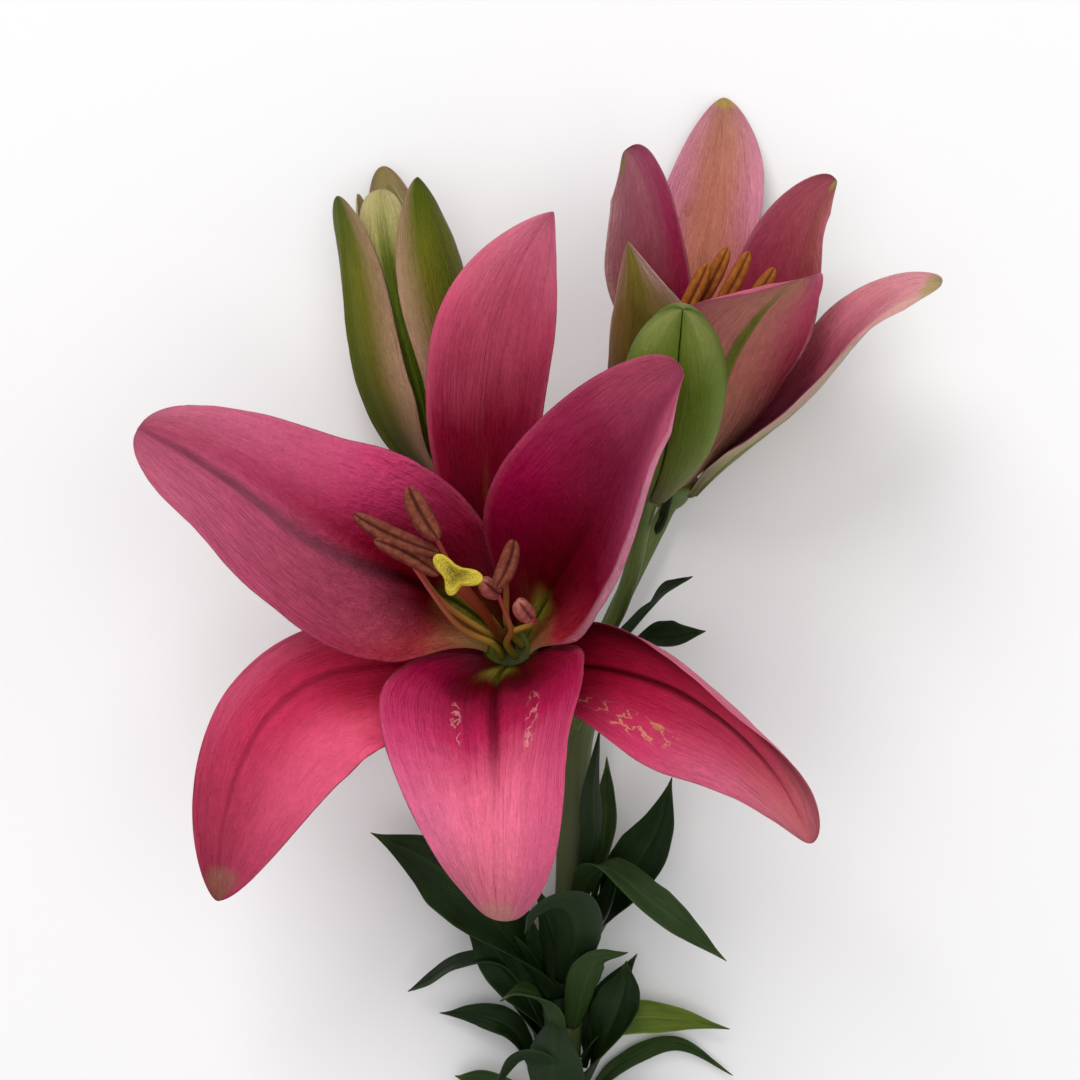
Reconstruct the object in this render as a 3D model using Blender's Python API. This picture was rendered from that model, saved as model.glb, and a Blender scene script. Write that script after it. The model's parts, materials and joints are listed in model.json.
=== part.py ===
"""A cut lily stem lying on a table: one open flower, one half open, two buds, leaves.

Millimetres and degrees in the tables below, metres in Blender. The stem runs along +Y,
the table is z = 0, and the last lines move everything so that the middle of the
footprint stands at the origin.
"""

import math

import bmesh
import bpy
import numpy as np

# Driving dimensions, millimetres.
TEPAL_THICK = 0.9
LEAF_THICK = 0.7
STEM_RADIUS = 4.2
GAP = 0.35
INNER_RING = 4.9
LIFT = 1.8
OUTER_RING = 6.5
FILAMENT_RING = 3.2
FILAMENT_RADIUS = 0.65
BUD_RADIUS = 12.3
BUD_LENGTH = 60

STEM = [(4, -292, 4.6), (7, -240, 4.9), (6, -182, 5.4), (6, -139, 6.5), (8, -92, 8), (9, -56, 9),
        (13, -38, 10), (16, -25, 11)]
STEM_RADII = [STEM_RADIUS] * 5 + [3.9, 3.6, 3.4]

OPEN_BASE, OPEN_AXIS = (-7, -27.3, 28), (-0.17, 0.30, 0.94)
HALF_BASE, HALF_AXIS = (33.5, 14.2, 7), (0.10, 0.84, 0.53)
LEFT_BASE, LEFT_AXIS = (-24, 16.7, 14.6), (-0.23, 0.97, 0.05)
SMALL_BASE, SMALL_AXIS = (26.4, 12.3, 50), (0.09, 0.65, 0.75)

# Colours, linear red, green, blue.
ROSE = (0.48, 0.035, 0.11)
PINK = (0.60, 0.09, 0.17)
CRIMSON = (0.22, 0.008, 0.035)
SALMON = (0.62, 0.22, 0.17)
DUSKY = (0.40, 0.17, 0.13)
LIME = (0.28, 0.30, 0.06)
OLIVE = (0.10, 0.10, 0.015)
LEAF_DARK = (0.012, 0.038, 0.010)
LEAF_GREEN = (0.030, 0.075, 0.018)
LEAF_YELLOW = (0.12, 0.17, 0.015)
STEM_GREEN = (0.045, 0.07, 0.02)
POLLEN = (0.13, 0.03, 0.02)
FILAMENT = (0.45, 0.12, 0.12)
STIGMA = (0.62, 0.55, 0.12)

for old in list(bpy.data.objects):
    bpy.data.objects.remove(old)


def along(values, u):
    """A smooth curve through evenly spaced values, read at u from 0 to 1."""
    v = np.asarray(values, float)
    n = len(v) - 1
    t = np.clip(u, 0, 1) * n
    i = np.clip(t.astype(int), 0, n - 1)
    f = (t - i).reshape(t.shape + (1,) * (v.ndim - 1))
    p1, p2 = v[i], v[i + 1]
    first = (i == 0).reshape(f.shape)
    last = (i == n - 1).reshape(f.shape)
    p0 = np.where(first, 2 * p1 - p2, v[np.maximum(i - 1, 0)])
    p3 = np.where(last, 2 * p2 - p1, v[np.minimum(i + 2, n)])
    square = (2 * p0 - 5 * p1 + 4 * p2 - p3) * f**2
    return 0.5 * (2 * p1 + (p2 - p0) * f + square + (3 * p1 - p0 - 3 * p2 + p3) * f**3)


def unit(v):
    v = np.asarray(v, float)
    return v / np.linalg.norm(v)


def flower_frame(axis):
    """Sideways, upwards and forwards directions of a flower that points along axis."""
    forward = unit(axis)
    side = unit(np.array([1, 0, 0]) - forward[0] * forward)
    return side, np.cross(forward, side), forward


def paint(obj, colour, roughness):
    material = bpy.data.materials.new(obj.name)
    material.use_nodes = True
    shader = material.node_tree.nodes["Principled BSDF"]
    shader.inputs["Base Color"].default_value = (*colour, 1)
    shader.inputs["Roughness"].default_value = roughness
    shader.inputs["Metallic"].default_value = 0
    material.diffuse_color = (*colour, 1)
    material.roughness = roughness
    obj.data.materials.append(material)


def finish(name, bm, colour, roughness=0.5, thick=0):
    """Turns millimetres into metres, shades the object smooth and gives a sheet its thickness."""
    bmesh.ops.scale(bm, vec=(0.001, 0.001, 0.001), verts=bm.verts)
    for face in bm.faces:
        face.smooth = True
    mesh = bpy.data.meshes.new(name)
    bm.to_mesh(mesh)
    bm.free()
    obj = bpy.data.objects.new(name, mesh)
    bpy.context.collection.objects.link(obj)
    if thick:
        solidify = obj.modifiers.new("Thickness", "SOLIDIFY")
        solidify.thickness = thick / 1000
        solidify.offset = 0
        solidify.use_even_offset = True
    paint(obj, colour, roughness)
    return obj


def sheet(name, place, cells_along, cells_across, colour, roughness, thick):
    """A grid whose point (u, v) goes to place(u, v), made into a sheet of the given thickness."""
    bm = bmesh.new()
    bmesh.ops.create_grid(bm, x_segments=cells_along, y_segments=cells_across, size=1)
    verts = list(bm.verts)
    grid = np.array([vert.co[:2] for vert in verts])
    points = place((grid[:, 0] + 1) / 2, grid[:, 1])
    for vert, point in zip(verts, points):
        vert.co = point
    return finish(name, bm, colour, roughness, thick)


def tepal(name, base, axis, ring, azimuth, length, lean, sweep, twist, cup, width, widest,
          tip, skew=0, claw=0.2, colour=ROSE, lift=0):
    """A petal. lean: tilt away from the flower's axis, base to tip. sweep: sideways bend.

    twist: turn of the blade about its rib. cup: half the angle the blade wraps round.
    claw: width of the base and widest: place of the full width, as fractions. lift: how far
    along the axis the base sits. The base lies flat on its ring, wrapped 50 degrees.
    """
    side, up, forward = flower_frame(axis)
    a = math.radians(azimuth)
    outward = math.cos(a) * side + math.sin(a) * up
    around = np.cross(forward, outward)
    s = np.linspace(0, 1, 81)
    tilt = np.radians(along(lean, s))[:, None]
    bend = np.radians(along([0] + sweep, s))[:, None]
    away = np.cos(bend) * outward + np.sin(bend) * around
    ahead = np.cos(tilt) * forward + np.sin(tilt) * away
    rib = np.zeros((len(s), 3))
    rib[1:] = np.cumsum((ahead[1:] + ahead[:-1]) / 2, axis=0) * length / 80
    rib += np.asarray(base) + lift * forward + ring * outward
    inward = np.sin(tilt) * forward - np.cos(tilt) * away
    across = np.cross(inward, ahead)
    turn = np.radians(along([0] + twist, s))[:, None]
    blade = np.cos(turn) * across + np.sin(turn) * inward
    face = np.cos(turn) * inward - np.sin(turn) * across

    def place(u, v):
        rise = claw + (1 - claw) * np.sin(math.pi / 2 * np.clip(u / widest, 0, 1)) ** 1.3
        fall = np.cos(math.pi / 2 * np.clip((u - widest) / (1 - widest), 0, 1)) ** tip
        half = width / 2 * np.where(u < widest, rise, fall) * (1 + skew * v)
        half = np.maximum(half, 0.7)
        wrap = np.radians(along([50] + cup, u))
        wrap = np.where(np.abs(wrap) < 0.01, 0.01, wrap)
        x = half * np.sin(wrap * v) / wrap
        z = half * (1 - np.cos(wrap * v)) / wrap
        at = [np.interp(u, s, rib[:, k]) + x * np.interp(u, s, blade[:, k])
              + z * np.interp(u, s, face[:, k]) for k in range(3)]
        return np.stack(at, axis=1)

    return sheet(name, place, 12, 6, colour, 0.45, TEPAL_THICK)


def bud_tepal(name, base, axis, azimuth, radii, length, colour):
    """One of the three outer petals of a closed bud: a third of its skin."""
    side, up, forward = flower_frame(axis)

    def place(u, v):
        r = along(radii, u)
        reach = math.pi / 3 - 0.6 / r
        a = math.radians(azimuth) + reach * v
        r = r + 0.5 * (1 - np.abs(v)) - 0.5
        out = np.cos(a)[:, None] * side + np.sin(a)[:, None] * up
        return np.asarray(base) + r[:, None] * out + (length * u)[:, None] * forward

    return sheet(name, place, 12, 6, colour, 0.5, TEPAL_THICK)


def tube_mesh(name, points, radii, sides=8, rings=10):
    """A round bar along a smooth line, its radius read off radii, as a mesh with welded caps."""
    s = np.linspace(0, 1, rings + 1)
    line = along(points, s)
    curve = bpy.data.curves.new(name, "CURVE")
    curve.dimensions = "3D"
    curve.bevel_depth = 1
    curve.bevel_resolution = sides // 2 - 2
    curve.use_fill_caps = True
    spline = curve.splines.new("POLY")
    spline.points.add(rings)
    for point, at, radius in zip(spline.points, line, along(radii, s)):
        point.co = (*at, 1)
        point.radius = radius
    helper = bpy.data.objects.new(name + "_line", curve)
    bpy.context.collection.objects.link(helper)
    bpy.context.view_layer.update()
    mesh = bpy.data.meshes.new_from_object(helper)
    bpy.data.objects.remove(helper)
    bm = bmesh.new()
    bm.from_mesh(mesh)
    bmesh.ops.remove_doubles(bm, verts=bm.verts, dist=0.0001)
    bmesh.ops.recalc_face_normals(bm, faces=bm.faces)
    return bm


def tube(name, points, radii, colour, sides=8, rings=10, roughness=0.5):
    return finish(name, tube_mesh(name, points, radii, sides, rings), colour, roughness)


def anther_mesh(start, end, radius):
    """A pollen sac pair: a long ellipsoid with a furrow along its upper side."""
    start, end = np.asarray(start, float), np.asarray(end, float)
    middle, length = (start + end) / 2, np.linalg.norm(end - start)
    ahead = unit(end - start)
    up = unit(np.array([0, 0, 1]) - ahead[2] * ahead)
    side = np.cross(ahead, up)
    bm = bmesh.new()
    bmesh.ops.create_uvsphere(bm, u_segments=10, v_segments=8, radius=1)
    for vert in bm.verts:
        x, y, z = vert.co
        fat = (1 - 0.35 * z * z) * (1 - (0.3 * x if x > 0.5 else 0))
        vert.co = middle + z * length / 2 * ahead + radius * fat * (y * side + x * up)
    return bm


def leaf(name, stem_y, around, points, width, colour, twist=(0, 0), cup=35, stand=0.9):
    """A leaf from the stem at stem_y. around: where on the stem, 0 right, 90 up, 180 left."""
    y = [p[1] for p in STEM]
    foot = np.array([np.interp(stem_y, y, [p[k] for p in STEM]) for k in (0, 1, 2)])
    foot[1] = stem_y
    a = math.radians(around)
    out = np.array([math.cos(a), 0, math.sin(a)])
    foot += (np.interp(stem_y, y, STEM_RADII) + GAP + stand) * out
    return blade(name, [tuple(foot)] + points, -out, width, colour, twist, cup)


def blade(name, points, face, width, colour, twist=(0, 0), cup=35):
    """A long leaf blade through points, its upper side first turned to face."""
    s = np.linspace(0, 1, 61)
    line = along(points, s)
    ahead = np.gradient(line, axis=0)
    ahead /= np.linalg.norm(ahead, axis=1)[:, None]
    faces = [unit(face - np.dot(face, ahead[0]) * ahead[0])]
    for step in ahead[1:]:
        faces.append(unit(faces[-1] - np.dot(faces[-1], step) * step))
    faces = np.array(faces)
    sides = np.cross(faces, ahead)
    turn = np.radians(along(twist, s))[:, None]
    across = np.cos(turn) * sides + np.sin(turn) * faces
    normal = np.cos(turn) * faces - np.sin(turn) * sides

    def place(u, v):
        rise = 0.42 + 0.58 * np.sin(math.pi / 2 * np.clip(u / 0.45, 0, 1))
        fall = np.cos(math.pi / 2 * np.clip((u - 0.45) / 0.55, 0, 1)) ** 0.9
        half = np.maximum(width / 2 * np.where(u < 0.45, rise, fall), 0.5)
        wrap = math.radians(cup) * (1 - 0.4 * u)
        x = half * np.sin(wrap * v) / wrap
        z = half * (1 - np.cos(wrap * v)) / wrap
        at = [np.interp(u, s, line[:, k]) + x * np.interp(u, s, across[:, k])
              + z * np.interp(u, s, normal[:, k]) for k in range(3)]
        return np.stack(at, axis=1)

    return sheet(name, place, 12, 4, colour, 0.45, LEAF_THICK)


# The main stem, cut square at its lower end, and the four stalks that carry the flowers.
# Each flower stalk ends in the receptacle, stepped so that both rings of petals seat on it.
tube("stem", STEM, STEM_RADII, STEM_GREEN, 12, 24)


def stalk(name, points, base, axis, slim, colour):
    """A flower stalk up to base, its head flared below the outer petals and slim inside them."""
    forward = unit(axis)
    base = np.asarray(base, float)
    line = [np.asarray(p, float) for p in points]
    s = np.linspace(0, 1, 9)
    neck = along(line + [base - 7 * forward], s)
    head = [base + h * forward for h in (-4, -1.5, 0.6, 1, 3.2)]
    radii = [slim] * 9 + [4.6, OUTER_RING - 1.5, OUTER_RING - 1.6, 3.6, 3.6]
    return knots(name, list(neck) + head, radii, colour)


def knots(name, line, radii, colour, sides=10):
    """A round bar through the given points exactly."""
    bm = tube_mesh(name, line, radii, sides, len(line) - 1)
    return finish(name, bm, colour, 0.5)


stalk("open_flower_stalk", [(10, -48, 15.9), (4, -44, 15.5), (-2, -38, 17)],
      OPEN_BASE, OPEN_AXIS, 2.3, STEM_GREEN)
stalk("half_open_flower_stalk", [(16.7, -24, 9.2), (21, -15, 7.5), (27, -3, 5.5)],
      HALF_BASE, HALF_AXIS, 2.2, STEM_GREEN)
tube("left_bud_stalk", [(8.7, -37, 13.6), (1, -22, 14), (-9, -6, 14), (-17.5, 4, 14.2), (-22.6, 11, 14.4),
                        (-23.9, 16.2, 14.6)], [2, 2, 2, 2, 2.4, 3], STEM_GREEN, 8, 12)
tube("small_bud_stalk", [(16.8, -24.4, 13.4), (20, -17, 18), (23, -7, 28), (25, 4, 38),
                         (26.5, 13.3, 51.1)], [1.7, 2.1, 2.1, 2.2, 3], STEM_GREEN, 8, 10)

# The open flower: three broad inner petals in front of three narrower outer ones.
OPEN = dict(base=OPEN_BASE, axis=OPEN_AXIS)
tepal("open_flower_petal_left", **OPEN, ring=INNER_RING, azimuth=136, length=115,
      lean=[23, 29, 63, 72], sweep=[45, 8, 19], twist=[-24, 26, 26], cup=[34, 21, -5],
      width=50, widest=0.48, tip=0.44, skew=-0.11, claw=0.13, lift=LIFT)
tepal("open_flower_petal_right", **OPEN, ring=INNER_RING, azimuth=27, length=109,
      lean=[24, 25, 42, 49], sweep=[-5, 15, 8], twist=[11, -20, -37], cup=[58, 38, 31],
      width=45, widest=0.52, tip=0.61, skew=0.14, claw=0.15, lift=LIFT, colour=CRIMSON)
tepal("open_flower_petal_lower", **OPEN, ring=INNER_RING, azimuth=-92, length=100,
      lean=[17, 38, 74, 161], sweep=[14, 5, -5], twist=[-5, 12, 1], cup=[41, 34, -13],
      width=51, widest=0.39, tip=0.68, skew=-0.03, claw=0.17, lift=LIFT, colour=PINK)
tepal("open_flower_sepal_top", **OPEN, ring=OUTER_RING, azimuth=96, length=112,
      lean=[24, 48, 70, 83], sweep=[-10, -20, -47], twist=[18, 5, -4], cup=[67, 29, 13],
      width=30, widest=0.69, tip=0.81, skew=-0.02, claw=0.2, lift=-1)
tepal("open_flower_sepal_lower_right", **OPEN, ring=OUTER_RING, azimuth=-30, length=103,
      lean=[25, 61, 101, 111], sweep=[10, -10, -44], twist=[12, 59, 52], cup=[78, 55, -11],
      width=36, widest=0.57, tip=0.53, skew=-0.1, claw=0.2, lift=-1)
tepal("open_flower_sepal_lower_left", **OPEN, ring=OUTER_RING, azimuth=-149, length=114,
      lean=[22, 54, 85, 110], sweep=[-18, 33, 58], twist=[7, -6, 0], cup=[42, 16, 2],
      width=39, widest=0.48, tip=0.61, skew=0.39, claw=0.2, lift=-1)

# Six filaments round the ovary, each under its own anther, and the pistil with its stigma.
SIDE, UP, FORWARD = flower_frame(OPEN_AXIS)
HEAD = np.array(OPEN_BASE) + 3.6 * FORWARD
STAMENS = (("1", 120, (-19, -10, 56), (-30, 12, 82), (-23, 0, 87), False),
           ("2", 180, (-24, -14, 54), (-43, 6, 76), (-23, -3, 83), False),
           ("3", 235, (-20, -20, 54), (-38, 0, 80), (-23, -8, 80), False),
           ("4", 60, (-8, -12, 56), (-6, 0, 79), (-10, -11, 87), False),
           ("5", 300, (-7, -21, 56), (-13, -9.5, 84), (-9.8, -12.5, 72), True),
           ("6", 0, (-1, -20, 52), (-5, -14, 86), (-2, -18, 76), True))
for number, azimuth, middle, start, end, by_its_end in STAMENS:
    a = math.radians(azimuth)
    foot = HEAD + FILAMENT_RING * (math.cos(a) * SIDE + math.sin(a) * UP)
    start, end = np.array(start, float), np.array(end, float)
    centre = (start + end) / 2
    top = centre - 2.75 * unit(centre - np.array(middle))
    if by_its_end:
        top = end + 0.4 * unit(end - start)
    tube("open_flower_filament_" + number, [foot, foot + 12 * FORWARD, middle, top],
         [FILAMENT_RADIUS, FILAMENT_RADIUS, 0.7, 0.5], FILAMENT, 6, 8)
    finish("open_flower_anther_" + number, anther_mesh(start, end, 1.9), POLLEN, 0.8)
tube("open_flower_pistil", [HEAD, HEAD + 9 * FORWARD, (-10.4, -22, 50), (-13, -17, 70),
                            (-17.5, -11, 88), (-19.2, -8.6, 94)],
     [1.7, 1.8, 1.2, 1.2, 1.6, 3.9], STIGMA, 8, 12)

# The half-open flower: outer petals at the back, right and front left, inner ones between.
HALF = dict(base=HALF_BASE, axis=HALF_AXIS)
tepal("half_open_sepal_back", **HALF, ring=OUTER_RING, azimuth=87, length=99,
      lean=[14, 35, 34, 33], sweep=[-4, -7, 8], twist=[-1, -14, 4], cup=[60, 47, 17],
      width=31, widest=0.57, tip=0.6, skew=-0.05, claw=0.2, lift=-1, colour=SALMON)
tepal("half_open_sepal_right", **HALF, ring=OUTER_RING, azimuth=-19, length=89,
      lean=[27, 38, 26, 64], sweep=[-1, 16, -3], twist=[1, -2, 0], cup=[40, 46, 14],
      width=34, widest=0.5, tip=0.59, skew=-0.04, claw=0.2, lift=-1, colour=DUSKY)
tepal("half_open_sepal_left", **HALF, ring=OUTER_RING, azimuth=-127, length=92,
      lean=[28, 25, 15, 28], sweep=[13, 5, -7], twist=[-5, 1, -4], cup=[44, 47, 9],
      width=33, widest=0.44, tip=0.86, skew=0.2, claw=0.2, lift=-1, colour=DUSKY)
tepal("half_open_petal_right", **HALF, ring=INNER_RING, azimuth=35, length=87,
      lean=[-1, 30, 10, 44], sweep=[-22, 8, -24], twist=[20, -6, 0], cup=[42, 32, 39],
      width=31, widest=0.56, tip=0.41, skew=-0.14, claw=0.13, lift=LIFT, colour=SALMON)
tepal("half_open_petal_front", **HALF, ring=INNER_RING, azimuth=-76, length=95,
      lean=[32, 17, 28, 56], sweep=[3, 17, 0], twist=[-7, -16, 12], cup=[46, 27, 4],
      width=46, widest=0.38, tip=0.63, skew=0.05, claw=0.16, lift=LIFT, colour=DUSKY)
tepal("half_open_petal_left", **HALF, ring=INNER_RING, azimuth=156, length=87,
      lean=[2, 10, 16, 25], sweep=[-6, -9, 8], twist=[1, 2, -5], cup=[69, 17, 30],
      width=38, widest=0.68, tip=0.32, skew=0.2, claw=0.17, lift=LIFT, colour=SALMON)

# Its pistil and four of its stamens, one body: they part only inside the flower.
FORWARD = flower_frame(HALF_AXIS)[2]
HEAD = np.array(HALF_BASE) + 3.6 * FORWARD
core = tube("half_open_stamens", [HEAD, HEAD + 20 * FORWARD, HEAD + 44 * FORWARD],
            [2.6, 2.2, 1.6], FILAMENT, 8, 8)
for number, start, end in (("1", (33, 52, 53), (40, 66, 55)), ("2", (37, 55, 49), (45, 70, 53)),
                           ("3", (42, 54, 51), (50, 69, 53)), ("4", (47, 52, 51), (56, 65, 54))):
    middle = (np.array(start) + np.array(end)) / 2
    shapes = (tube_mesh("arm", [HEAD + 16 * FORWARD, (HEAD + 30 * FORWARD + middle) / 2, middle],
                        [1.2, 0.8, 0.8], 6, 6), anther_mesh(start, end, 2.0))
    for kind, shape in zip(("filament", "anther"), shapes):
        cutter = finish("half_open_" + kind + "_" + number, shape, POLLEN)
        cutter.hide_render = True
        cutter.hide_viewport = True
        union = core.modifiers.new(kind + number, "BOOLEAN")
        union.operation = "UNION"
        union.solver = "EXACT"
        union.object = cutter

# The left bud, just opening: three broad outer petals round three inner ones.
LEFT = dict(base=LEFT_BASE, axis=LEFT_AXIS)
tepal("left_bud_sepal_left", **LEFT, ring=3.9, azimuth=203, length=78, lean=[48, 9, -10, -4],
      sweep=[3, 0, 3], twist=[-4, 3, 7], cup=[60, 71, 6], width=32, widest=0.33, tip=0.54,
      skew=-0.02, claw=0.28, colour=OLIVE)
tepal("left_bud_sepal_right", **LEFT, ring=3.9, azimuth=321, length=76, lean=[28, 15, -3, -7],
      sweep=[5, 0, -3], twist=[13, -1, -5], cup=[66, 50, 51], width=30, widest=0.53, tip=0.65,
      skew=-0.04, claw=0.28, colour=OLIVE)
tepal("left_bud_sepal_back", **LEFT, ring=3.9, azimuth=82, length=79, lean=[36, 12, 0, -10],
      sweep=[0, 0, 0], twist=[0, 0, 0], cup=[56, 56, 40], width=24, widest=0.45, tip=0.5,
      claw=0.33, colour=OLIVE)
tepal("left_bud_petal_front", **LEFT, ring=2.2, azimuth=260, length=75, lean=[28, 8, -5, -19],
      sweep=[7, -10, -12], twist=[0, 3, 21], cup=[55, 49, 26], width=18, widest=0.62, tip=0.35,
      skew=-0.08, claw=0.2, lift=0.2, colour=LIME)
for name, azimuth, length in (("right", 60, 76), ("left", 154, 75)):
    tepal("left_bud_petal_" + name, **LEFT, ring=2.2, azimuth=azimuth, length=length,
          lean=[26, 4, -3, -8], sweep=[0, 0, 0], twist=[0, 0, 0], cup=[52, 46, 35], width=12,
          widest=0.5, tip=0.45, claw=0.2, lift=0.2, colour=LIME)

# The small closed bud, tipped towards the viewer.
for name, azimuth in (("left", 205), ("right", 325), ("back", 85)):
    bud_tepal("small_bud_sepal_" + name, SMALL_BASE, SMALL_AXIS, azimuth,
              [4.2, 8.2, 11.2, BUD_RADIUS, 11.8, 9.0, 4.0], BUD_LENGTH, LIME)

# Leaves. The two at the fork and the bract sit beside the stalks, the rest spiral down.
RIGHT_TURN, LEFT_TURN = (0, 45, 60), (0, -45, -60)
blade("leaf_bract", [(28.4, 2, 38), (30.2, 5, 42), (31.5, 10, 44), (33, 16, 44)], (-1, 0, 0.3),
      5, LEAF_GREEN)
leaf("leaf_fork_upper", -28, 50, [(27, -17, 23), (32, -12, 27), (38, -9, 28)], 8, LEAF_DARK,
     RIGHT_TURN)
leaf("leaf_fork_lower", -31, 20, [(28, -25, 16), (35, -24, 18), (42, -23, 17)], 9, LEAF_DARK,
     RIGHT_TURN)
leaf("leaf_right_1", -88, 60, [(13, -75, 20), (13, -62, 24), (15, -47, 23)], 7, LEAF_DARK)
leaf("leaf_right_2", -93, 10, [(16, -80, 11), (17, -67, 12), (17, -55, 12)], 6, LEAF_GREEN,
     (0, 30, 50))
leaf("leaf_right_3", -105, 30, [(18, -94, 13), (25, -81, 17), (30, -71, 21), (33, -59, 25)], 14,
     LEAF_DARK, (0, 50, 75))
leaf("leaf_right_4", -92, 75, [(15, -81, 27), (27, -89, 32), (37, -97, 28), (47, -106, 20)], 11,
     LEAF_GREEN, (0, 45, 75))
leaf("leaf_left_1", -117, 140, [(-7, -102, 17), (-18, -89, 19), (-30, -80, 18), (-43, -74, 16)],
     21, LEAF_DARK, (0, -60, -75))
leaf("leaf_left_2", -123, 200, [(-9, -105, 4), (-20, -89, 4.5), (-30, -76, 5)], 10, LEAF_GREEN)
leaf("leaf_left_3", -127, 160, [(-9, -108, 16), (-20, -107, 16), (-28, -112, 11), (-34, -116, 6)],
     8, LEAF_DARK, (0, -25, -60))
leaf("leaf_left_4", -134, 120, [(2, -117, 24), (-5, -112, 29), (-10, -115, 26)], 10, LEAF_GREEN,
     (0, -25, -30))
leaf("leaf_left_5", -143, 185, [(-6, -127, 7), (-15, -122, 7), (-26, -122, 3)], 9, LEAF_DARK,
     (0, -40, -60))
leaf("leaf_front_1", -113, 95, [(9, -98, 27), (6, -90, 35), (0, -91, 37), (-4, -97, 34)], 15,
     LEAF_DARK)
leaf("leaf_right_5", -124, 70, [(11, -112, 21), (14, -105, 25), (22, -103, 25)], 10, LEAF_GREEN)
leaf("leaf_right_6", -141, 35, [(17, -126, 14), (21, -115, 13), (22, -107, 12)], 12, LEAF_DARK,
     (0, 60, 75))
leaf("leaf_right_7", -134, -20, [(20, -124, 5), (34, -123, 5), (49, -126, 4)], 9, LEAF_YELLOW,
     (0, 50, 70))
leaf("leaf_right_8", -147, -30, [(22, -136, 2.4), (36, -133, 2.2), (50, -139, 1.5)], 6,
     LEAF_GREEN, (0, 40, 60))
leaf("leaf_front_2", -147, 110, [(1, -133, 20), (-5, -130, 22), (-13, -141, 15)], 11, LEAF_DARK,
     (0, -20, -30))
leaf("leaf_right_9", -165, 60, [(13, -150, 17), (24, -145, 22), (37, -152, 18)], 11, LEAF_DARK,
     RIGHT_TURN)
leaf("leaf_left_6", -172, 150, [(-7, -158, 14), (-22, -152, 17), (-38, -160, 12)], 11, LEAF_DARK,
     LEFT_TURN)

# Stands the middle of the footprint at the origin and the lowest point on the table.
bpy.context.view_layer.update()
graph = bpy.context.evaluated_depsgraph_get()
nodes = [obj for obj in bpy.data.objects if not obj.hide_render]
low, high = [], []
for obj in nodes:
    mesh = obj.evaluated_get(graph).to_mesh()
    points = np.empty(len(mesh.vertices) * 3)
    mesh.vertices.foreach_get("co", points)
    points = points.reshape(-1, 3)
    low.append(points.min(axis=0))
    high.append(points.max(axis=0))
    print("box", obj.name, np.round(low[-1] * 1000, 1), np.round(high[-1] * 1000, 1))
low, high = np.min(low, axis=0), np.max(high, axis=0)
shift = np.array([(low[0] + high[0]) / 2, (low[1] + high[1]) / 2, low[2]])
print("shift", shift)
for obj in bpy.data.objects:
    obj.location = -shift
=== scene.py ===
"""The looks of a cut lily stem that lies on a table, seen from above.

Lengths are in millimetres from the drawing's origin, which stands CENTRE away from the
middle of the footprint, and angles are in degrees.
"""
import json
import math

import bmesh
import bpy
import numpy as np
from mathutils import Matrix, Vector, noise

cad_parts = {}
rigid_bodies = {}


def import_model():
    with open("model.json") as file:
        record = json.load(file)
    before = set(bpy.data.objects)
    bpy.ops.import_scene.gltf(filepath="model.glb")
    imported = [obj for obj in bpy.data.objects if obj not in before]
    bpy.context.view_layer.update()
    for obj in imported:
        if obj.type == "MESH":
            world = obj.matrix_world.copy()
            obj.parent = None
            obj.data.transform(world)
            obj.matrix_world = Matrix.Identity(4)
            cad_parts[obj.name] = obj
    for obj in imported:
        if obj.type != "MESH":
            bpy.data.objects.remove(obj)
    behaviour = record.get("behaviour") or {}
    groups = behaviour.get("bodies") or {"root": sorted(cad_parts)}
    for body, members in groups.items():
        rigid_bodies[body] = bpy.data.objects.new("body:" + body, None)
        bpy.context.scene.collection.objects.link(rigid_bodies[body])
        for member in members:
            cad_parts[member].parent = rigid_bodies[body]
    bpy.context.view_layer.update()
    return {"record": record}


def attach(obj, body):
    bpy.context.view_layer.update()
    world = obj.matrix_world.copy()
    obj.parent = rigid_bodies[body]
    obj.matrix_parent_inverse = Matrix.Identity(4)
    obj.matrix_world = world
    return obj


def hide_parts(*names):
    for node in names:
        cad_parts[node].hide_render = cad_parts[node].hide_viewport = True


scene = bpy.context.scene
for old in list(bpy.data.objects):
    bpy.data.objects.remove(old)
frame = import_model()

# Main stem ------------------------------------------------------------------------------
# A round green stem as thick as a pencil, faintly ribbed, with a scar under each leaf. It
# was cut square with a knife, so its lower end shows pale pith.
CENTRE = np.array([1.688, -88.966, -0.229])
STEM_LINE = [(4, -292, 4.6), (7, -240, 4.9), (6, -182, 5.4), (6, -139, 6.5), (8, -92, 8),
             (9, -56, 9), (13, -38, 10), (16, -25, 11)]
STEM_RADII = [4.2] * 5 + [3.9, 3.6, 3.4]
END_SHARPNESS = 900
WELD = 0.002
SLOTS = {row["node"]: row["material_slot"] for row in frame["record"]["subparts"]}


def steps(count):
    return np.linspace(0, 1, count)


def held(x):
    """x, kept between 0 and 1."""
    return np.clip(x, 0, 1)


def bell(x):
    return np.exp(-x**2)


def along(values, u):
    """A smooth curve through evenly spaced values, read at u from 0 to 1."""
    v = np.asarray(values, float)
    u = np.asarray(u, float)
    n = len(v) - 1
    t = held(u) * n
    i = np.clip(t.astype(int), 0, n - 1)
    f = (t - i).reshape(t.shape + (1,) * (v.ndim - 1))
    p1, p2 = v[i], v[i + 1]
    p0 = np.where((i == 0).reshape(f.shape), 2 * p1 - p2, v[np.maximum(i - 1, 0)])
    p3 = np.where((i == n - 1).reshape(f.shape), 2 * p2 - p1, v[np.minimum(i + 2, n)])
    square = (2 * p0 - 5 * p1 + 4 * p2 - p3) * f**2
    return 0.5 * (2 * p1 + (p2 - p0) * f + square + (3 * p1 - p0 - 3 * p2 + p3) * f**3)


def unit(v):
    return v / np.maximum(np.linalg.norm(v, axis=-1, keepdims=True), 1e-9)


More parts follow.
